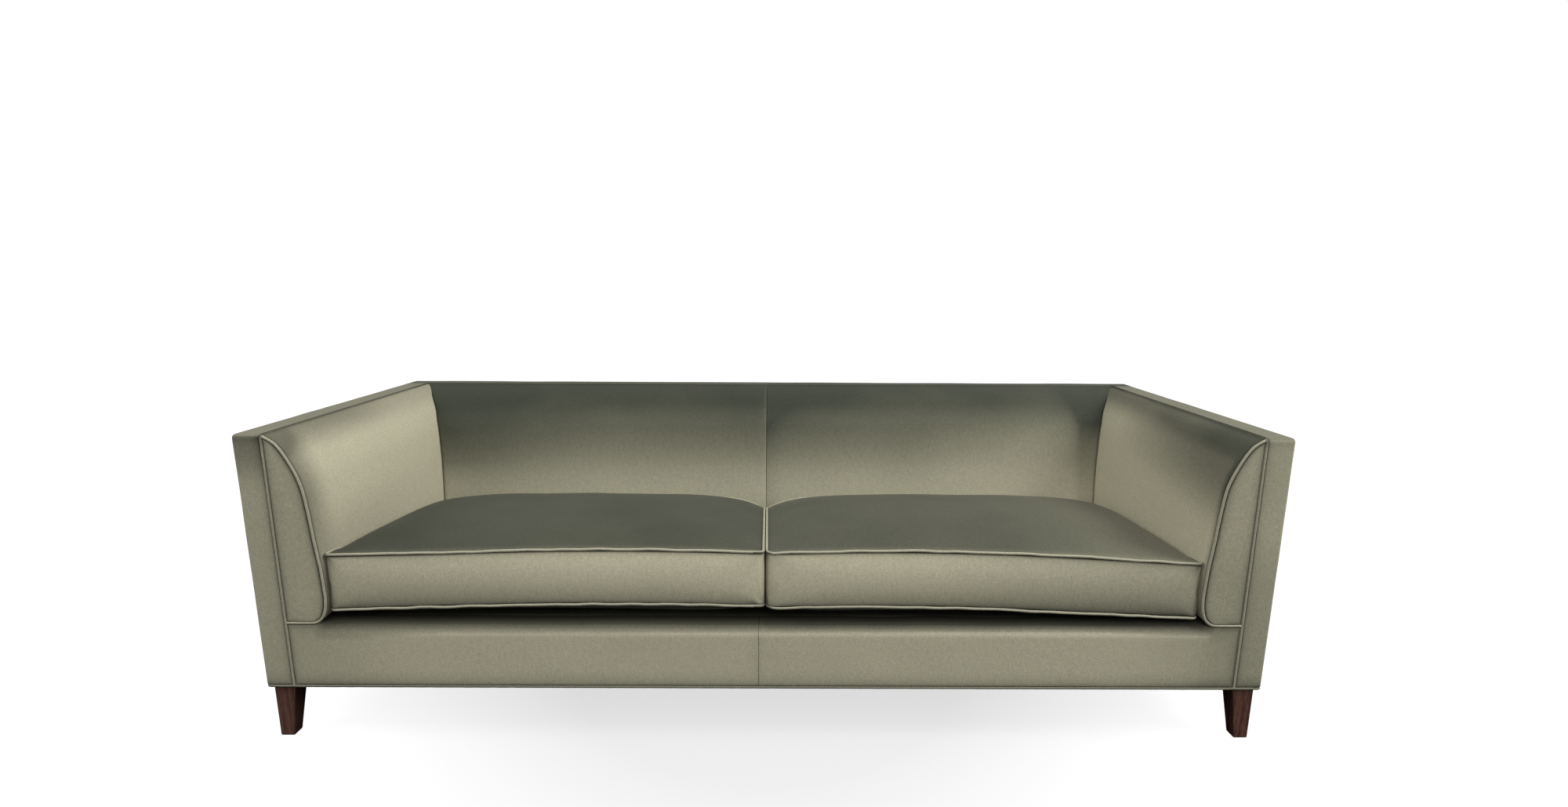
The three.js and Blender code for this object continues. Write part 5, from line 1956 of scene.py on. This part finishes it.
@dataclass
class SeatDeck:
    """Platform, webbing and dust cover under the cushions."""

    wardrobe: Wardrobe
    strap_width: float = 0.06
    strap_thickness: float = 0.0016
    weave_drop: float = 0.0018
    long_straps: int = 11
    cross_straps: int = 3
    dust_sag: float = 0.004
    dust_thickness: float = 0.0008
    leg_room_x: float = 0.08
    leg_room_y: float = 0.074

    def build(self) -> None:
        """Builds the deck's pieces."""
        self.build_platform()
        self.build_webbing()
        self.build_dust_cover()

    def build_platform(self) -> None:
        """Builds the padded platform that the cushions lie on."""
        half = SIZES.lining_side - SIZES.clearance
        start, end = SIZES.front + SIZES.roll_depth + SIZES.clearance, SIZES.deck_rear
        depths = (start + edge_spaced(end - start, 0.025))[:, None]
        grid = lattice(edge_spaced(2 * half, 0.025) - half, depths, SIZES.deck_height(depths))
        relief = Relief(91, wave_depth=0.0, pucker_depth=0.0)
        outer, seam = upholster(grid, (0, 0, 1), EdgeTurns(0.003, 0.003, 0.003, 0.003), relief)
        outer[..., 2] -= 0.0006 * (1 + ripple(grid, 0.12, 92))
        piece = closed_shell("platform_padding", outer, grid - (0, 0, SIZES.deck_thickness), seam)
        finish_piece(piece, self.wardrobe.platform, FRAME_BODY, ("seat_platform",))

    def strap(self, place: float, run: Points, others: Points, turn: int, crosswise: bool) -> Points:
        """Sets out the upper face of one strap of the webbing.

        Args:
            place: Where its middle lies across.
            run: Places along it.
            others: Where the middles of the straps that it crosses lie along it.
            turn: Even where it passes over the first of them.
            crosswise: Whether it runs across the sofa.

        Returns:
            Points in rows along the strap.
        """
        low = np.zeros(len(run))
        for order, other in enumerate(others):
            near = np.clip(1.6 - np.abs(run - other) / (self.strap_width / 2), 0, 1)
            low = np.maximum(low, (turn + order) % 2 * near)
        across, along = np.meshgrid(place + np.linspace(-0.5, 0.5, 5) * self.strap_width, run)
        x, y = (along, across) if crosswise else (across, along)
        drop = SIZES.deck_thickness + SIZES.clearance
        return lattice(x, y, SIZES.deck_height(y) - drop - self.weave_drop * low[:, None])

    def build_webbing(self) -> None:
        """Builds the crossing straps, woven over and under each other."""
        start, end = SIZES.timber_front + SIZES.clearance, SIZES.deck_rear
        half = SIZES.half_width - SIZES.arm_thickness + SIZES.arm_board_inset - SIZES.clearance
        outermost = half - self.strap_width / 2
        cross_half = SIZES.timber_side - SIZES.top_rail_width - SIZES.clearance
        middles = np.linspace(-outermost, outermost, self.long_straps)
        crossings = start + (end - start) * np.arange(1, self.cross_straps + 1) / (self.cross_straps + 1)
        long_run, cross_run = np.linspace(start, end, 90), np.linspace(-cross_half, cross_half, 330)
        straps = [(place, long_run, crossings, number, False) for number, place in enumerate(middles)]
        straps += [(place, cross_run, middles, number + 1, True) for number, place in enumerate(crossings)]
        points, quads, total = [], [], 0
        for strap in straps:
            top = self.strap(*strap)
            faces = shell_faces(np.ones(np.subtract(top.shape[:2], 1), bool))
            quads.append((faces[:, ::-1] if strap[-1] else faces) + total)
            points += [top.reshape(-1, 3), top.reshape(-1, 3) - (0, 0, self.strap_thickness)]
            total = sum(map(len, points))
        piece = add_mesh("woven_webbing", np.concatenate(points), np.concatenate(quads), np.zeros(total))
        finish_piece(piece, self.wardrobe.webbing, FRAME_BODY, ("seat_webbing",),
                     subdivide=False)

    def build_dust_cover(self) -> None:
        """Builds the thin cloth under the frame, cut away round the legs."""
        side, end = SIZES.timber_side, -SIZES.timber_front
        notch_x, notch_y = SIZES.half_width - self.leg_room_x, SIZES.depth / 2 - self.leg_room_y
        half_x, half_y = (
            np.unique(np.append(edge_spaced(reach, 0.03, low=False), notch))
            for reach, notch in ((side, notch_x), (end, notch_y))
        )
        x, y = (np.concatenate([-half[:0:-1], half]) for half in (half_x, half_y))
        sag = self.dust_sag * (1 - (x / side) ** 2) * (1 - (y[:, None] / end) ** 2)
        flat = lattice(x, y[:, None], 0.0)
        waves = 0.0005 * ripple(flat, 0.15, 95) * sag / self.dust_sag
        outer = flat + lattice(0.0, 0.0, SIZES.leg_height + SIZES.clearance - sag + waves)
        inner = outer + (0, 0, self.dust_thickness)
        middle_x, middle_y = (x[1:] + x[:-1]) / 2, (y[1:] + y[:-1]) / 2
        cells = ~((np.abs(middle_x)[None] > notch_x) & (np.abs(middle_y)[:, None] > notch_y))
        piece = closed_shell("dust_cloth", outer, inner, np.zeros(sag.shape), cells)
        finish_piece(piece, self.wardrobe.dust_cloth, FRAME_BODY, ("dust_cover",),
                     subdivide=False)


@dataclass
class TaperedLeg:
    """One tapered leg with eased edges, its inner side painted darker as shade.

    The foot rings say how far the leg is trimmed at heights over the floor.
    """

    hand: Hand
    end: int
    wardrobe: Wardrobe
    top_width: float = 0.048
    foot_width: float = 0.031
    side_inset: float = 0.013
    front_inset: float = 0.007
    edge: float = 0.0022
    top: float = SIZES.leg_height + 0.0015
    foot_rings: tuple[tuple[float, float], ...] = (
        (0, 0.0022), (0.0006, 0.0012), (0.0014, 0.0005), (0.0024, 0.0001),
        (0.004, 0), (0.01, 0), (0.03, 0), (0.06, 0), (0.09, 0),
    )
    top_trim: float = 0.0005
    # How dark the painted shade on the inner side is
    stain: float = 0.62

    def ring(self, height: float, trim: float) -> Points:
        """Draws the leg's rounded square section at one height.

        Args:
            height: Height over the floor.
            trim: How far its sides are trimmed there.

        Returns:
            Points from the leg's outer corner.
        """
        middle = (self.foot_width + (self.top_width - self.foot_width) * height / self.top) / 2
        corners = []
        for quarter in range(4):
            angle = np.linspace(0, math.pi / 2, 5) + quarter * math.pi / 2
            half_turn = (quarter + 0.5) * math.pi / 2
            centre = (middle - trim - self.edge) * np.sign([math.cos(half_turn), math.sin(half_turn)])
            corners.append(np.stack([np.cos(angle), np.sin(angle)], axis=-1) * self.edge + centre)
        flat = np.vstack(corners) + middle
        return np.column_stack([flat, np.full(len(flat), height)])

    def build(self) -> None:
        """Builds the leg."""
        rings = (*self.foot_rings, (self.top - 0.001, 0), (self.top, self.top_trim))
        local = np.stack([self.ring(*ring) for ring in rings])
        levels, count = local.shape[:2]
        points = lattice(self.hand.value * (SIZES.half_width - self.side_inset - local[..., 0]),
                         self.end * (SIZES.depth / 2 - self.front_inset - local[..., 1]), local[..., 2])
        number = np.arange(levels * count).reshape(levels, count)
        caps = []
        for ring, way in ((number[0], -1), (number[-1], 1)):
            for step in range(count // 2 - 1):
                quad = [ring[step], ring[step + 1], ring[count - 2 - step], ring[count - 1 - step]]
                caps.append(quad[::way])
        name = f"leg_{'front' if self.end < 0 else 'rear'}_{self.hand.word}"
        reach = local[..., 0] / local[..., 0].max(axis=1, keepdims=True)
        # Painted shade on the side that faces in under the sofa
        stain = self.stain * np.clip((reach - 0.95) / 0.04, 0, 1)
        faces = np.concatenate([ring_walls(number), np.array(caps)])
        piece = add_mesh(f"tapered_{name}", points.reshape(-1, 3), faces, stain.ravel())
        finish_piece(piece, self.wardrobe.leg, FRAME_BODY, (name,), subdivide=False)
        piece.data.polygons.foreach_set("use_smooth", np.zeros(len(piece.data.polygons), bool))


@dataclass
class FrameTimber:
    """The hidden frame, whose solids stay and get their wood."""

    wardrobe: Wardrobe

    def dress(self) -> None:
        """Gives each timber the grain of its longest side, and the lining its board."""
        for name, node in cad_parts.items():
            if node.hide_render:
                continue
            low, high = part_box(name)
            span = high - low
            axis = list(GrainAxis)[max(range(3), key=lambda index: span[index])]
            lining = name.startswith("arm_lining")
            material = self.wardrobe.fibreboard if lining else self.wardrobe.timber[axis]
            node.data.materials.clear()
            node.data.materials.append(material)
            LOG.info("%s keeps its solid in %s", name, material.name)


@dataclass(frozen=True)
class SoftLamp:
    """A soft white studio lamp that looks at the sofa."""

    name: str
    place: tuple[float, float, float]
    size: tuple[float, float]
    power: float
    aim: tuple[float, float, float] = (0.0, 0.0, 0.4)

    def build(self) -> None:
        """Builds the lamp."""
        light = bpy.data.lights.new(self.name, "AREA")
        light.shape = "RECTANGLE"
        light.size, light.size_y = self.size
        light.energy = self.power
        lamp = show(bpy.data.objects.new(self.name, light))
        lamp.location = self.place
        way = Vector(self.aim) - Vector(self.place)
        lamp.rotation_euler = way.to_track_quat("-Z", "Y").to_euler()


@dataclass
class Studio:
    """Pale floor, soft light and the camera."""

    lamps: tuple[SoftLamp, ...] = (
        SoftLamp("key_lamp", (4.0, -1.2, 3.2), (2.4, 2.0), 232.0),
        SoftLamp("front_lamp", (0.0, -3.8, 3.0), (3.4, 1.6), 93.0),
        SoftLamp("fill_lamp", (-4.0, -1.4, 3.2), (2.0, 1.8), 92.0),
    )
    world_strength: float = 0.40
    floor_reach: float = 14.0
    # Glow of the floor in the painted shadow pool round the sofa
    floor_glow: float = 0.71
    floor_tone: float = 0.12
    camera_place: tuple[float, float, float] = (0.0336, -2.1037, 1.0154)
    camera_angles: tuple[float, float, float] = (12.681, 0.207, 0.275)
    camera_lens: float = 18.868
    camera_shift: float = 0.0356

    def build(self) -> None:
        """Builds the studio."""
        bpy.context.scene.view_settings.view_transform = "Standard"
        self.build_world()
        self.build_floor()
        for lamp in self.lamps:
            lamp.build()
        self.build_camera()

    def build_world(self) -> None:
        """Builds the even world light, which is white to the camera and to reflections."""
        world = bpy.data.worlds.new("studio_world")
        bpy.context.scene.world = world
        world.use_nodes = True
        world.node_tree.nodes.clear()
        board = NodeBoard(world.node_tree)
        strength = board.get("ShaderNodeMapRange", {
            "Value": self.seen_rays(board), "To Min": self.world_strength, "To Max": 1.0,
        })
        light = board.get("ShaderNodeBackground", {"Color": (1, 1, 1, 1), "Strength": strength})
        board.add("ShaderNodeOutputWorld", {"Surface": light})

    @staticmethod
    def seen_rays(board: NodeBoard) -> Socket:
        """Finds the rays that the camera sees directly, in gloss or through glass.

        Args:
            board: Board of the tree that needs them.

        Returns:
            A socket that is 1 for such rays.
        """
        path = board.add("ShaderNodeLightPath").outputs
        seen = board.math("MAXIMUM", path["Is Camera Ray"], path["Is Glossy Ray"])
        return board.math("MAXIMUM", seen, path["Is Transmission Ray"])

    def build_floor(self) -> None:
        """Builds the pale floor, which keeps the sofa's shadow and glows less in an oval round the sofa, a
        painted shadow pool.
        """
        mesh, reach = bpy.data.meshes.new("studio_floor"), self.floor_reach
        corners = [(-reach, -reach, 0), (reach, -reach, 0), (reach, reach, 0), (-reach, reach, 0)]
        mesh.from_pydata(corners, [], [(0, 1, 2, 3)])
        floor = show(bpy.data.objects.new("studio_floor", mesh))
        material = bpy.data.materials.new("studio_floor")
        material.use_nodes = True
        material.node_tree.nodes.clear()
        board = NodeBoard(material.node_tree)
        place = board.get("ShaderNodeTexCoord", output="Object")
        oval = board.get("ShaderNodeMapping", {"Vector": place, "Scale": (1.25, 1.0, 1.0)})
        distance = board.get("ShaderNodeVectorMath", {0: oval}, output="Value", operation="LENGTH")
        # Painted shadow: the floor's glow is lower in an oval round the sofa
        painted_pool_glow = board.get("ShaderNodeMapRange", {
            "Value": distance, "From Min": 0.62, "From Max": 1.53, "To Min": self.floor_glow, "To Max": 1.0,
        })
        strength = board.math("MULTIPLY", self.seen_rays(board), painted_pool_glow)
        glow = board.get("ShaderNodeEmission", {"Color": (1, 1, 1, 1), "Strength": strength})
        matte = board.get("ShaderNodeBsdfDiffuse", {"Color": (*[self.floor_tone] * 3, 1)})
        both = board.get("ShaderNodeAddShader", {0: glow, 1: matte})
        board.add("ShaderNodeOutputMaterial", {"Surface": both})
        mesh.materials.append(material)

    def build_camera(self) -> None:
        """Builds the camera at the photograph's place and angle."""
        pitch, yaw, roll = (math.radians(angle) for angle in self.camera_angles)
        ahead = Vector((math.sin(yaw) * math.cos(pitch), math.cos(yaw) * math.cos(pitch), -math.sin(pitch)))
        level = Vector((math.cos(yaw), -math.sin(yaw), 0))
        right = math.cos(roll) * level + math.sin(roll) * level.cross(ahead)
        lens = bpy.data.cameras.new("photo_camera")
        lens.sensor_width, lens.lens, lens.shift_y = 36.0, self.camera_lens, self.camera_shift
        camera = show(bpy.data.objects.new("photo_camera", lens))
        turn = Matrix((right, right.cross(ahead), -ahead)).transposed().to_4x4()
        camera.matrix_world = Matrix.Translation(self.camera_place) @ turn
        bpy.context.scene.camera = camera


def write_sizes() -> None:
    """Updates the view layer."""
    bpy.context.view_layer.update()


def main() -> None:
    """Builds the sofa's pieces in order and the studio round them."""
    logging.basicConfig(level=logging.INFO, format="%(message)s")
    wardrobe = Wardrobe()
    piping = Piping(wardrobe)
    for hand in Hand:
        ArmUpholstery(hand, wardrobe).build()
        FrontRailCover(hand, wardrobe).build()
        SeatCushion(hand, wardrobe, piping).build()
        for end in (-1, 1):
            TaperedLeg(hand, end, wardrobe).build()
    BackUpholstery(wardrobe).build()
    FrameWelts(piping).build()
    SeatDeck(wardrobe).build()
    FrameTimber(wardrobe).dress()
    Studio().build()
    write_sizes()


if __name__ == "__main__":
    main()
